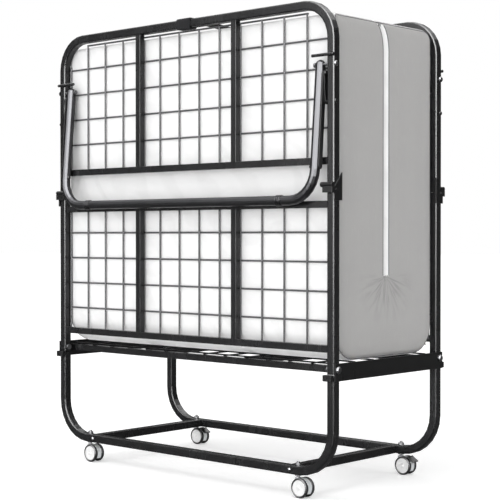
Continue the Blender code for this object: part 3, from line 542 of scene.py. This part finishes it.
def panel_wires(row, section, finishes):
    """Round upright wires with thinner cross wires welded behind them, on the mattress side. Both are black
    steel; the uprights get a lighter paint as painted light.
    """
    node = f"{row}_{section}_mesh"
    low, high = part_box(node)
    outward = ROWS[row]
    half = (high.y - low.y) / 2
    middle = (high.y + low.y) / 2
    y_upright = middle + outward * UPRIGHT_WIRE_SHIFT
    y_cross = middle + outward * CROSS_WIRE_SHIFT
    columns = np.linspace(low.x + half, high.x - half, PANEL_COLUMNS)
    first = PIVOT_HEIGHT + FIRST_ROW[section]
    rows = [low.z + half] + [first + ROW_PITCH * index for index in range(PANEL_ROWS - 2)] + [high.z - half]
    curve = round_curve(node.replace("mesh", "wires"), UPRIGHT_WIRE_RADIUS)
    for index, x in enumerate(columns):
        corner = section == "upper" and index in (0, PANEL_COLUMNS - 1)
        top = rows[-2] + half + WIRE_END / 4 if corner else high.z
        add_cord(curve, [(x, y_upright, low.z), (x, y_upright, top)])
    for index, z in enumerate(rows):
        reach = CROSS_WIRE_REACH
        if section == "upper" and index == PANEL_ROWS - 1:
            reach = columns[-2] + UPRIGHT_WIRE_RADIUS
        add_cord(curve, [(-reach, y_cross, z), (reach, y_cross, z)],
                 thickness=CROSS_WIRE_RADIUS / UPRIGHT_WIRE_RADIUS, material=1)
    # The upright wires take the lighter finish as painted light, the cross wires the true black.
    wires = link_object(curve.name, curve, [finishes["lit_wire"], finishes["black_wire"]])
    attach(wires, f"{row}_panel")
    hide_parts(node)


def deck_wires(finishes):
    """The round wires that carry the fold of the mattress."""
    low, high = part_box("deck_mesh")
    half = (high.z - low.z) / 2
    middle = (high.z + low.z) / 2
    above = middle + DECK_WIRE_RADIUS
    curve = round_curve("deck_wires", DECK_WIRE_RADIUS)
    for x in np.linspace(low.x + half, high.x - half, PANEL_COLUMNS):
        add_cord(curve, [(x, low.y, middle), (x, high.y, middle)])
    for y in np.linspace(low.y + half, high.y - half, PANEL_ROWS):
        add_cord(curve, [(low.x, y, above), (high.x, y, above)])
    wires = link_object("deck_wires", curve, [finishes["black_wire"]])
    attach(wires, "base")
    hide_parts("deck_mesh")


# --- Mattress ---


def mattress_sizes():
    """Half width, outer reach, top, bottom and slit foot of the folded mattress, from its CAD boxes."""
    half_low, half_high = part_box("front_mattress_half")
    fold_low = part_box("mattress_fold")[0]
    return {
        "width": half_high.x - MATTRESS_BULGE / 2,
        "outer": -half_low.y,
        "top": half_high.z - PIVOT_HEIGHT,
        "bottom": fold_low.z - PIVOT_HEIGHT,
        "slit": -half_high.y,
        "foot": PIVOT_REACH,
        "slit_foot": PIVOT_REACH + SLIT_RISE,
    }


def outline_depth(y, z, sizes):
    """How deep points of the side lie inside the folded outline, and the direction to its nearest edge.

    The outline is a rounded rectangle with a slit down its middle from the top to the slit foot.
    """
    outer, top, bottom = sizes["outer"], sizes["top"], sizes["bottom"]
    reach = np.abs(y)
    side = np.where(y < 0, -1.0, 1.0)
    upper = z > (top + bottom) / 2
    top_corner = np.where(y < 0, TOP_CORNER["front"], TOP_CORNER["rear"])
    corner = np.where(upper, top_corner, BOTTOM_CORNER)
    over_y = reach - (outer - corner)
    over_z = np.where(upper, z - (top - corner), (bottom + corner) - z)
    depths = np.stack([outer - reach, np.where(upper, top - z, z - bottom)])
    near_side = depths[0] < depths[1]
    depth = depths.min(axis=0)
    way_y = np.where(near_side, side, 0.0)
    way_z = np.where(near_side, 0.0, np.where(upper, 1.0, -1.0))
    in_corner = (over_y > 0) & (over_z > 0)
    span = np.maximum(np.hypot(over_y, over_z), 1e-9)
    depth = np.where(in_corner, corner - span, depth)
    way_y = np.where(in_corner, side * over_y / span, way_y)
    way_z = np.where(in_corner, np.where(upper, 1.0, -1.0) * over_z / span, way_z)

    below = np.maximum(sizes["slit_foot"] - z, 0.0)
    to_slit = np.maximum(np.hypot(reach, below), 1e-9)
    slit_depth = to_slit - sizes["slit"]
    slit_y, slit_z = -side * reach / to_slit, below / to_slit
    crest_y = SLIT_CORNER - (reach - sizes["slit"])
    crest_z = z - (top - SLIT_CORNER)
    crest = (crest_y > 0) & (crest_z > 0)
    crest_span = np.maximum(np.hypot(crest_y, crest_z), 1e-9)
    slit_depth = np.where(crest, SLIT_CORNER - crest_span, slit_depth)
    slit_y = np.where(crest, -side * crest_y / crest_span, slit_y)
    slit_z = np.where(crest, crest_z / crest_span, slit_z)
    nearer = (slit_depth < depth) | crest
    return (np.where(nearer, slit_depth, depth), np.where(nearer, slit_y, way_y),
            np.where(nearer, slit_z, way_z))


def smooth_step(share):
    """0 below 0, 1 above 1, smooth in between."""
    share = np.clip(share, 0.0, 1.0)
    return share * share * (3 - 2 * share)


def pulled_in(first, second):
    """How far points move in where two faces meet, from their reach to each face, to round the edge."""
    want_first = np.maximum(MATTRESS_EDGE - first, 0.0)
    want_second = np.maximum(MATTRESS_EDGE - second, 0.0)
    span = np.maximum(np.hypot(want_first, want_second), 1e-9)
    pull = 1 - np.minimum(MATTRESS_EDGE / span, 1.0)
    return want_first * pull, want_second * pull


def crown(depth, edge):
    """How far a side swells outwards, by the depth inside the outline and the reach to the side."""
    rise = 1 - np.exp(-np.maximum(depth, 0.0) / CROWN_RISE)
    return MATTRESS_BULGE * rise * np.exp(-edge / CROWN_REACH)


def padded(points, sizes):
    """The whole soft shape at rest: rounded edges, crowned sides and the leaning top."""
    x, y, z = points.T
    depth, way_y, way_z = outline_depth(y, z, sizes)
    edge = sizes["width"] - np.abs(x)
    shift, inset = pulled_in(depth, edge)
    rise = np.clip((z - LEAN_START) / LEAN_LENGTH, 0, 1)
    lean = 1 - np.sqrt(1 - rise ** 2)
    middle = np.clip(1 - np.abs(y) / sizes["outer"], 0, 1)
    return np.stack([x + np.sign(x) * (crown(depth, edge) - inset),
                     y - way_y * shift - LEAN * lean * middle,
                     z - way_z * shift], axis=1)


def quilting(across, along):
    """Depth of the sewn swirl lines on a face, from 0 to 1."""
    wave = along + 0.020 * np.sin(across / 0.026) + 0.012 * np.sin(across / 0.061 + along / 0.047)
    line = np.abs(np.sin(math.pi * wave / 0.072))
    return np.exp(-(line / 0.22) ** 2)


def creases(x, height, sizes):
    """Short upright creases where the mattress bends round the deck, from 0 to 1."""
    band = np.exp(-((height - sizes["bottom"] - 0.050) / 0.030) ** 2)
    phase = 9.0 * x / 0.05 + 2.2 * np.sin(x / 0.043) + 1.4 * np.sin(x / 0.017 + 1.0)
    return band * np.exp(-(np.sin(phase / 2) / 0.35) ** 2)


def side_columns(width, step):
    """X positions from side to side, with finer steps near both sides."""
    inner = width - MATTRESS_EDGE
    middle = np.linspace(-inner, inner, max(2, round(2 * inner / step)))
    count = round(MATTRESS_EDGE / EDGE_STEP)
    first = np.linspace(-width, -inner, count, endpoint=False)
    return np.concatenate([first, middle, -first[::-1]])


def block_grid(xs, ys, heights):
    """Grid points with Y and height from rows and columns, repeated along X."""
    grid = np.zeros((*heights.shape, len(xs), 3))
    grid[..., 0] = xs
    grid[..., 1] = ys[:, :, None]
    grid[..., 2] = heights[:, :, None]
    return grid


def block_faces(counts):
    """Quads over the six faces of a block of grid points, and the face each one lies on."""
    ni, nj, nk = counts

    def flat(i, j, k):
        """The number of a grid point, counted along K, then J, then I."""
        return (i * nj + j) * nk + k

    quads, sides = [], []
    spans = ((nj, nk), (ni, nk), (ni, nj))
    for axis, (count_a, count_b) in enumerate(spans):
        a, b = np.meshgrid(np.arange(count_a - 1), np.arange(count_b - 1), indexing="ij")
        a, b = a.ravel(), b.ravel()
        for end in (0, 1):
            fixed = np.full_like(a, end * (counts[axis] - 1))
            corners = []
            for step_a, step_b in ((0, 0), (1, 0), (1, 1), (0, 1)):
                position = [a + step_a, b + step_b]
                position.insert(axis, fixed)
                corners.append(flat(*position))
            quads.append(np.stack(corners, axis=1))
            sides.append(np.full(len(a), 2 * axis + end))
    return np.concatenate(quads), np.concatenate(sides)


def block_piece(name, grid, shape_points, face_material, finishes):
    """A closed piece from the outer faces of a grid of points at rest.

    shape_points turns grid points and their lattice places into final points; face_material
    gives each quad's material from its face of the block and its middle.
    """
    counts = grid.shape[:3]
    quads, sides = block_faces(counts)
    used = np.unique(quads)
    renumber = np.zeros(counts[0] * counts[1] * counts[2], int)
    renumber[used] = np.arange(len(used))
    rest = grid.reshape(-1, 3)[used]
    lattice = np.stack(np.unravel_index(used, counts), axis=1)
    middles = grid.reshape(-1, 3)[quads].mean(axis=1)
    points = shape_points(rest, lattice, counts)
    points[:, 2] += PIVOT_HEIGHT
    mesh = bpy.data.meshes.new(name)
    mesh.from_pydata(points.tolist(), [], renumber[quads].tolist())
    mesh.polygons.foreach_set("material_index", face_material(sides, middles).astype(np.int32))
    attribute = mesh.attributes.new("rest", "FLOAT_VECTOR", "POINT")
    attribute.data.foreach_set("vector", points.astype(np.float32).ravel())
    close_mesh(mesh, SOFT_SHARP_DEGREES)
    return link_object(name, mesh, [finishes["ticking"], finishes["border"]])


def half_grid(sizes, corner):
    """Grid points of a half at rest, on the front side: rows of height over each Y, repeated along X."""
    outer, slit, top, bottom, foot = (sizes[key] for key in ("outer", "slit", "top", "bottom", "foot"))
    turns = np.linspace(0, math.pi / 2, 6)
    start = -outer + corner * (1 - np.cos(turns))
    inner = np.linspace(start[-1], -SEAM_REACH, HALF_COLUMNS)[1:]
    last = np.linspace(-SEAM_REACH, -slit, 6)[1:]
    ys = np.concatenate([start, inner, last])
    arc_reach = np.clip(ys + outer - BOTTOM_CORNER, -BOTTOM_CORNER, 0.0)
    arc_low = bottom + BOTTOM_CORNER - np.sqrt(np.maximum(BOTTOM_CORNER ** 2 - arc_reach ** 2, 0))
    cut_low = ys + foot + CUT_GAP
    lows = np.where(ys < -outer + BOTTOM_CORNER, np.maximum(arc_low, cut_low), cut_low)
    outer_over = np.clip(-(ys + outer - corner), 0, corner)
    slit_over = np.clip(ys + slit + SLIT_CORNER, 0, SLIT_CORNER)
    tops = top - (corner - np.sqrt(corner ** 2 - outer_over ** 2))
    tops -= SLIT_CORNER - np.sqrt(SLIT_CORNER ** 2 - slit_over ** 2)
    shares = np.linspace(0, 1, HALF_ROWS)
    # The rows lie closer together near the cut.
    shares = 0.62 * shares + 0.38 * shares ** 2
    heights = lows[:, None] + (tops - lows)[:, None] * shares[None, :]
    return block_grid(side_columns(sizes["width"], SIDE_STEP), ys[:, None], heights)


def fold_grid(sizes):
    """Grid points of the fold between the two halves."""
    outer, bottom, foot = sizes["outer"], sizes["bottom"], sizes["foot"]
    reach = outer - BOTTOM_CORNER * (1 - math.cos(math.radians(FOLD_TIP_TURN)))
    left = -outer + BOTTOM_CORNER * (1 - np.cos(np.radians(np.linspace(FOLD_TIP_TURN, 90, 6))))
    left = np.maximum(left, -reach)
    inner = np.linspace(left[-1], -SEAM_REACH, FOLD_COLUMNS)[1:]
    crest = np.linspace(-SEAM_REACH, 0.0, 5)[1:]
    ys = np.concatenate([left, inner, crest])
    ys = np.concatenate([ys, -ys[-2::-1]])
    over = np.clip(np.abs(ys) - outer + BOTTOM_CORNER, 0, BOTTOM_CORNER)
    lows = bottom + BOTTOM_CORNER - np.sqrt(BOTTOM_CORNER ** 2 - over ** 2)
    tops = np.maximum(foot - np.abs(ys) - CUT_GAP, lows + FOLD_TIP_THICKNESS)
    shares = np.linspace(0, 1, FOLD_ROWS)
    heights = lows[:, None] + (tops - lows)[:, None] * shares[None, :]
    return block_grid(side_columns(sizes["width"], SIDE_STEP), ys[:, None], heights)


def half_piece(row, sizes, finishes):
    """One folded half of the mattress, with its quilted faces."""
    outward = ROWS[row]
    grid = half_grid(sizes, TOP_CORNER[row])

    def shape_points(rest, lattice, counts):
        """Pad the half, quilt its two big faces and puff up its top."""
        own = rest.copy()
        if outward > 0:
            own[:, 1] *= -1
        shape = padded(own, sizes)
        x, z = rest[:, 0], rest[:, 2]
        fade = smooth_step((sizes["width"] - np.abs(x)) / SIDE_FADE)
        fade = fade * smooth_step((sizes["top"] - z) / END_FADE)
        on_outer = lattice[:, 0] == 0
        on_slit = lattice[:, 0] == counts[0] - 1
        sewn = quilting(x, z) * QUILT_DEPTH
        pressed = creases(x, z, sizes) * CREASE_DEPTH
        low_fade = smooth_step((z - sizes["foot"]) / END_FADE)
        shape[:, 1] -= outward * fade * on_outer * (sewn + pressed)
        shape[:, 1] += outward * fade * low_fade * on_slit * (sewn + SLIT_PUFF)
        on_top = lattice[:, 1] == counts[1] - 1
        middle = np.minimum(np.abs(rest[:, 1]), sizes["outer"] - np.abs(rest[:, 1]))
        puff = np.minimum(middle, sizes["width"] - np.abs(x))
        shape[:, 2] += on_top * TOP_PUFF * (1 - np.exp(-puff / SIDE_FADE))
        return shape

    def face_material(sides, middles):
        """Ticking on the two big faces and the lips of the slit, border fabric on the rest."""
        end_face = (sides == 4) | (sides == 5)
        top_face = sides == 3
        over_corner = top_face & (middles[:, 1] < TOP_CORNER[row] - sizes["outer"])
        height = middles[:, 2]
        lip = end_face & (middles[:, 1] > -SEAM_REACH)
        lip &= (height > sizes["slit_foot"] + SEAM_INSET) & (height < sizes["top"] - LIP_DROP)
        cut_face = (sides == 2) & (middles[:, 1] > -GUSSET_START)
        at_ends = np.abs(middles[:, 0]) > sizes["width"] - MATTRESS_EDGE
        cut_face |= (sides == 1) & at_ends & (height < sizes["slit_foot"] + SEAM_INSET)
        return (((end_face | top_face) & ~lip & ~over_corner) | cut_face).astype(int)

    cover = block_piece(f"{row}_mattress_cover", grid, shape_points, face_material, finishes)
    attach(cover, f"{row}_panel")
    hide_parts(f"{row}_mattress_half")


def fold_piece(sizes, finishes):
    """The fold of the mattress, which stays on the deck."""
    def shape_points(rest, lattice, counts):
        """Pad the fold."""
        return padded(rest, sizes)

    def face_material(sides, middles):
        """Ticking underneath, border fabric at the sides and on the cut."""
        return (sides >= 3).astype(int)

    cover = block_piece("mattress_fold_cover", fold_grid(sizes), shape_points, face_material, finishes)
    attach(cover, "base")
    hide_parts("mattress_fold")


def gusset_piece(row, sizes, finishes):
    """The stretch of mattress over the bend: a thin sheaf of layers at rest."""
    outward = ROWS[row]
    foot = sizes["foot"]
    inner = (foot - GUSSET_START) * math.sqrt(2)
    turns = np.linspace(0, 1, GUSSET_LAYERS + 1)
    # The inverse of a smooth step, which spaces the layers through the sheaf.
    shares = 0.5 - np.sin(np.arcsin(1 - 2 * turns) / 3)
    reaches = foot / np.cos((turns - 0.5) * math.pi / 2)
    steps = np.linspace(0, 1, GUSSET_ROWS)
    steps = 1 - (1 - steps) ** 1.4
    radii = inner + (reaches - inner)[:, None] * steps[None, :]
    offset = (shares - 0.5) * GUSSET_THICKNESS
    slope = math.sqrt(0.5)
    grid = block_grid(side_columns(sizes["width"], GUSSET_SIDE_STEP),
                      -foot + slope * (radii - offset[:, None]), slope * (radii + offset[:, None]))

    def shape_points(rest, lattice, counts):
        """Round the edges and crown the sides, as on the half and the fold beside it."""
        points = rest.copy()
        end_depth = reaches[lattice[:, 0]] - np.hypot(rest[:, 1] + foot, rest[:, 2])
        edge = sizes["width"] - np.abs(rest[:, 0])
        depth = outline_depth(rest[:, 1], rest[:, 2], sizes)[0]
        shift, inset = pulled_in(end_depth, edge)
        points[:, 0] += np.sign(rest[:, 0]) * (crown(depth, edge) - inset)
        points[:, 1] -= slope * shift
        points[:, 2] -= slope * shift
        points[:, 1] *= -outward
        return points

    def face_material(sides, middles):
        """Ticking over the outer end, border fabric on the rest."""
        return (sides != 3).astype(int)

    gusset = block_piece(f"{row}_mattress_gusset", grid, shape_points, face_material, finishes)
    start = Vector((0, -slope * -GUSSET_THICKNESS / 2, -slope * GUSSET_THICKNESS / 2))
    middle = Vector((0, -foot + slope * inner * 2, slope * inner * 2))
    first, last = middle + start, middle - start
    for point in (first, last):
        point.y *= -outward
        point.z += PIVOT_HEIGHT
    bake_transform(gusset)


def outline_path(row, sizes):
    """Points along the folded outline of one half, from its cut over its top to the slit."""
    outer, top, bottom = sizes["outer"], sizes["top"], sizes["bottom"]
    start = math.radians(HALF_CUT_TURN)
    end = -sizes["slit"] - SLIT_CORNER / 2
    corner = TOP_CORNER[row]
    corners = []
    for turn in np.linspace(start, math.pi, 6):
        corners.append((-outer + BOTTOM_CORNER + BOTTOM_CORNER * math.cos(turn),
                        bottom + BOTTOM_CORNER + BOTTOM_CORNER * math.sin(turn)))
    heights = np.linspace(bottom + BOTTOM_CORNER, top - corner, 60)
    corners += [(-outer, height) for height in heights[1:-1]]
    for turn in np.linspace(math.pi, math.pi / 2, 7):
        corners.append((-outer + corner + corner * math.cos(turn), top - corner + corner * math.sin(turn)))
    corners += [(y, top) for y in np.linspace(-outer + corner, end, 14)[1:]]
    return [(ROWS[row] * -y, height) for y, height in corners]


def cord_points(path, x, sizes):
    """Path points in Y and height, moved on to the padded surface at one side."""
    rest = np.array([(x, y, z) for y, z in path])
    shape = padded(rest, sizes)
    shape[:, 2] += PIVOT_HEIGHT
    return [tuple(point) for point in shape]


def piping(sizes, finishes):
    """Corded edges of the border fabric on both sides of each half and of the fold."""
    width, top, bottom, outer = (sizes[key] for key in ("width", "top", "bottom", "outer"))
    for row, outward in ROWS.items():
        curve = round_curve(f"{row}_mattress_piping", PIPING_RADIUS)
        for x in (-width, width):
            add_cord(curve, cord_points(outline_path(row, sizes), x, sizes))
            heights = np.linspace(sizes["slit_foot"] + SEAM_INSET, top - LIP_DROP, 90)
            seam = [(outward * SEAM_REACH, z) for z in heights]
            add_cord(curve, cord_points(seam, x, sizes), SEAM_CORD_SHARE)
        cords = link_object(curve.name, curve, [finishes["cord"]])
        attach(cords, f"{row}_panel")
    curve = round_curve("fold_mattress_piping", PIPING_RADIUS)
    centre = outer - BOTTOM_CORNER
    for x in (-width, width):
        path = []
        for turn in np.radians(np.linspace(FOLD_CUT_TURN, 270, 6)):
            path.append((-centre + BOTTOM_CORNER * math.cos(turn),
                         bottom + BOTTOM_CORNER + BOTTOM_CORNER * math.sin(turn)))
        path += [(y, bottom) for y in np.linspace(-centre, centre, 40)[1:-1]]
        path += [(-y, z) for y, z in path[5::-1]]
        add_cord(curve, cord_points(path, x, sizes))
    cords = link_object(curve.name, curve, [finishes["cord"]])
    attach(cords, "base")


def build_mattress(finishes):
    """The padded mattress: two halves, the fold, the gussets over the bends and the piping."""
    sizes = mattress_sizes()
    for row in ROWS:
        half_piece(row, sizes, finishes)
        gusset_piece(row, sizes, finishes)
    fold_piece(sizes, finishes)
    piping(sizes, finishes)


# --- Strap ---


def strap_band(name, path, half_width, thickness, closed, finishes):
    """A flat woven band with rounded edges along a path in Y and Z, across X."""
    flat = half_width - thickness
    half = thickness / 2
    section = [(-half_width, 0.0), (-flat, -half), (flat, -half),
               (half_width, 0.0), (flat, half), (-flat, half)]
    count = len(section)
    points = []
    for index, (y, z) in enumerate(path):
        before = path[index - 1] if closed or index else path[0]
        after = path[(index + 1) % len(path)] if closed or index < len(path) - 1 else path[-1]
        run = Vector((after[0] - before[0], after[1] - before[1])).normalized()
        points += [(x, y - run.y * rise, z + run.x * rise) for x, rise in section]
    faces = []
    for index in range(len(path) if closed else len(path) - 1):
        here, there = index * count, ((index + 1) % len(path)) * count
        for corner in range(count):
            beside = (corner + 1) % count
            faces.append((here + corner, here + beside, there + beside, there + corner))
    if not closed:
        faces.append(tuple(range(count)))
        faces.append(tuple(range(len(points) - count, len(points))))
    mesh = bpy.data.meshes.new(name)
    mesh.from_pydata(points, [], faces)
    close_mesh(mesh, SOFT_SHARP_DEGREES)
    return link_object(name, mesh, [finishes["webbing"]])


def build_straps(finishes):
    """Each half of the closure strap: a loop round the top rail and a tail that hangs to the middle."""
    for row, outward in ROWS.items():
        low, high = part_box(f"{row}_strap")
        half_width = (high.x - low.x) / 2
        thickness = STRAP_THICKNESS
        radius = (high.z - low.z - thickness) / 2
        centre_y = outward * PIVOT_REACH
        centre_z = (high.z + low.z) / 2
        corner = STRAP_CORNER
        path = []
        for turn in range(4):
            diagonal = math.pi / 4 + turn * math.pi / 2
            sign_y, sign_z = math.copysign(1, math.cos(diagonal)), math.copysign(1, math.sin(diagonal))
            for step in range(5):
                angle = turn * math.pi / 2 + step * math.pi / 8
                path.append((centre_y + sign_y * (radius - corner) + corner * math.cos(angle),
                             centre_z + sign_z * (radius - corner) + corner * math.sin(angle)))
        loop = strap_band(f"{row}_strap_loop", path, half_width, thickness, True, finishes)
        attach(loop, f"{row}_panel")
        start_y = outward * (PIVOT_REACH - TOP_STRAP_LAP)
        end_y = outward * min(abs(low.y), abs(high.y))
        tail_path = []
        for share in np.linspace(0, 1, 28):
            sag = STRAP_SAG * smooth_step(share * 1.15)
            tail_path.append((start_y + (end_y - start_y) * share, high.z - thickness * 0.5 - sag))
        tail = strap_band(f"{row}_strap_tail", tail_path, half_width - 0.0012, thickness, False, finishes)
        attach(tail, f"{row}_panel")
        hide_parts(f"{row}_strap")
        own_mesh(tail)


# --- Casters, collars and bolts ---


def build_casters(finishes):
    """Twin-wheel casters: ribbed tyres round dished hub discs."""
    for row in ROWS:
        for side in SIDES:
            name = f"{row}_{side}"
            low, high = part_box(f"{name}_caster_wheels")
            centre = (low + high) / 2
            radius = (high.z - low.z) / 2
            half = (high.y - low.y) / 2
            hub = radius * 0.80
            inner = half * 0.39
            tread = [(half - 0.0022, hub), (half - 0.0006, hub + 0.0008), (half, radius - 0.0022),
                     (half - 0.0008, radius - 0.0008), (half - 0.0026, radius), (inner + 0.0026, radius),
                     (inner + 0.0008, radius - 0.0008), (inner, radius - 0.0022), (inner, hub)]
            disc = [(half - 0.0010, 0.0), (half - 0.0010, 0.0022), (half - 0.0018, 0.0030),
                    (half - 0.0026, 0.0044), (half - 0.0022, hub * 0.55), (half - 0.0008, hub * 0.88),
                    (half - 0.0012, hub * 0.98)]
            core = [(inner, 0.0032), (-inner, 0.0032)]
            outward = [(1, disc), (0, tread)]
            inward = [(0, [(-height, r) for height, r in reversed(tread)]),
                      (1, [(-height, r) for height, r in reversed(disc)])]
            wheels = turned(f"{name}_tyres_and_hubs", outward + [(0, core)] + inward, 40, centre, "Y",
                            [finishes["wheel"], finishes["hub"]])
            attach(wheels, f"{name}_wheels")
            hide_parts(f"{name}_caster_wheels")


def build_leg_collars(finishes):
    """The swaged slip joints on the bottom bar of each leg: three ridges with grooves between them, which
    take the black wire finish as painted shade.
    """
    half, radius = COLLAR_HALF_WIDTH, LEG_RADIUS
    ridge = half * 0.46
    groove = half * 0.2
    bands = [(1, [(-half, radius - 0.001), (-half, radius + 0.0002)])]
    start = -half
    for index in range(3):
        end = start + ridge
        bands.append((0, [(start + 0.0004, radius + 0.0012), (end - 0.0004, radius + 0.0012)]))
        if index < 2:
            # Painted shade: each groove gets the black wire finish.
            bands.append((1, [(end, radius + 0.0003), (end + groove, radius + 0.0003)]))
        start = end + groove
    bands.append((1, [(half, radius + 0.0002), (half, radius - 0.001)]))
    for row, outward in ROWS.items():
        low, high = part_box(f"{row}_leg")
        y = low.y + radius if outward < 0 else high.y - radius
        z = low.z + radius
        for side, sign in SIDES.items():
            collar = turned(f"{row}_{side}_leg_collar", bands, 36, (sign * COLLAR_X, y, z), "X",
                            [finishes["leg_tube"], finishes["black_wire"]])
            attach(collar, f"{row}_leg")


def build_rail_bolts(finishes):
    """Domed bolt heads where the base side rails meet the loops."""
    for row, outward in ROWS.items():
        for side in SIDES:
            rail_low, rail_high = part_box(f"{side}_base_rail")
            x = (rail_low.x + rail_high.x) / 2
            z = (rail_low.z + rail_high.z) / 2
            face = outward * (PIVOT_REACH + 0.010)
            profile = [(0.0028, 0.0), (0.0026, 0.0018), (0.0019, 0.0034), (0.0008, 0.0043), (0.0, 0.0045),
                       (-0.001, 0.0045), (-0.001, 0.0)]
            profile = [(outward * height, r) for height, r in profile]
            bolt = turned(f"{row}_{side}_rail_bolt", [(0, profile)], 24, (x, face, z), "Y",
                          [finishes["zinc"]])
            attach(bolt, "base")


# --- Stage ---


def make_floor():
    """A wide plain pale floor, which the metal reflects darker than it is."""
    mesh = bpy.data.meshes.new("floor")
    reach = 30.0
    mesh.from_pydata([(-reach, -reach, 0), (reach, -reach, 0), (reach, reach, 0), (-reach, reach, 0)], [],
                     [(0, 1, 2, 3)])
    finish = Finish("floor", (0.95, 0.95, 0.95), 0.8)
    mirrored = finish.add("ShaderNodeLightPath").outputs["Is Glossy Ray"]
    tone = finish.mix(finish.noise(1.5), (0.945, 0.945, 0.945, 1.0), (0.955, 0.955, 0.955, 1.0))
    reflected = (FLOOR_REFLECTED, FLOOR_REFLECTED, FLOOR_REFLECTED, 1.0)
    finish.set("Base Color", finish.mix(mirrored, tone, reflected))
    finish.set("Emission Color", (1.0, 1.0, 1.0, 1.0))
    finish.set("Emission Strength", finish.between(mirrored, FLOOR_GLOW, 0.0))
    finish.set("Specular IOR Level", 0.0)
    floor = link_object("floor", mesh, [finish.material])


def compass(azimuth, elevation):
    """The direction towards a place in the studio; azimuth 0 is the front and 90 the right."""
    a, e = math.radians(azimuth), math.radians(elevation)
    return Vector((math.sin(a) * math.cos(e), -math.cos(a) * math.cos(e), math.sin(e)))


def sun(name, azimuth, elevation, strength, softness):
    """A soft sun that shines from a place in the studio."""
    data = bpy.data.lights.new(name, "SUN")
    data.energy = strength
    data.angle = math.radians(softness)
    light = bpy.data.objects.new(name, data)
    bpy.context.scene.collection.objects.link(light)
    light.rotation_euler = compass(azimuth, elevation).to_track_quat("Z", "Y").to_euler()


def make_light():
    """A white studio: even for diffuse light, and a tall softbox in a dark room for reflections."""
    world = bpy.data.worlds.new("studio")
    bpy.context.scene.world = world
    world.use_nodes = True
    graph = Graph(world.node_tree)
    paths = graph.add("ShaderNodeLightPath").outputs
    direction = graph.add("ShaderNodeTexCoord").outputs["Generated"]
    flat = graph.vector_maths("MULTIPLY", direction, (1.0, 1.0, 0.0)).outputs["Vector"]
    level = graph.vector_maths("NORMALIZE", flat).outputs["Vector"]
    facing = graph.vector_maths("DOT_PRODUCT", level, compass(SOFTBOX_AZIMUTH, 0)).outputs["Value"]
    height = graph.add("ShaderNodeSeparateXYZ", {0: direction}).outputs["Z"]
    softbox = graph.sharpened(facing, *SOFTBOX_EDGE, ROOM_GLOW, SOFTBOX_GLOW)
    ceiling = graph.sharpened(height, *CEILING_EDGE, 0.0, CEILING_GLOW)
    mirrored = graph.maths("MAXIMUM", softbox, ceiling)
    even = graph.between(paths["Is Camera Ray"], AMBIENT, 1.0)
    strength = graph.add("ShaderNodeMix", {0: paths["Is Glossy Ray"], 2: even, 3: mirrored}).outputs[0]
    background = world.node_tree.nodes["Background"]
    graph.feed(background.inputs["Color"], (1.0, 1.0, 1.0, 1.0))
    graph.feed(background.inputs["Strength"], strength)
    sun("key_sun", -35, 50, 0.45, 20)
    sun("fill_sun", 8, 10, 0.85, 60)


def make_camera():
    """The camera at the picture's viewing angle."""
    data = bpy.data.cameras.new("camera")
    data.lens = CAMERA_LENS
    data.sensor_width = SENSOR_WIDTH
    camera = bpy.data.objects.new("camera", data)
    bpy.context.scene.collection.objects.link(camera)
    camera.location = CAMERA_POSITION
    camera.rotation_euler = (math.pi / 2 + CAMERA_PITCH, 0, CAMERA_AZIMUTH)
    bpy.context.scene.camera = camera


def build():
    """Dress the frame, build the soft and round pieces, and set the stage."""
    finishes = make_finishes()
    dress_frame(finishes)
    for row in ROWS:
        for section in ("upper", "lower"):
            panel_wires(row, section, finishes)
    deck_wires(finishes)
    build_mattress(finishes)
    build_straps(finishes)
    build_casters(finishes)
    build_leg_collars(finishes)
    build_rail_bolts(finishes)
    make_floor()
    make_light()
    make_camera()
    bpy.context.scene.view_settings.view_transform = "Standard"


build()
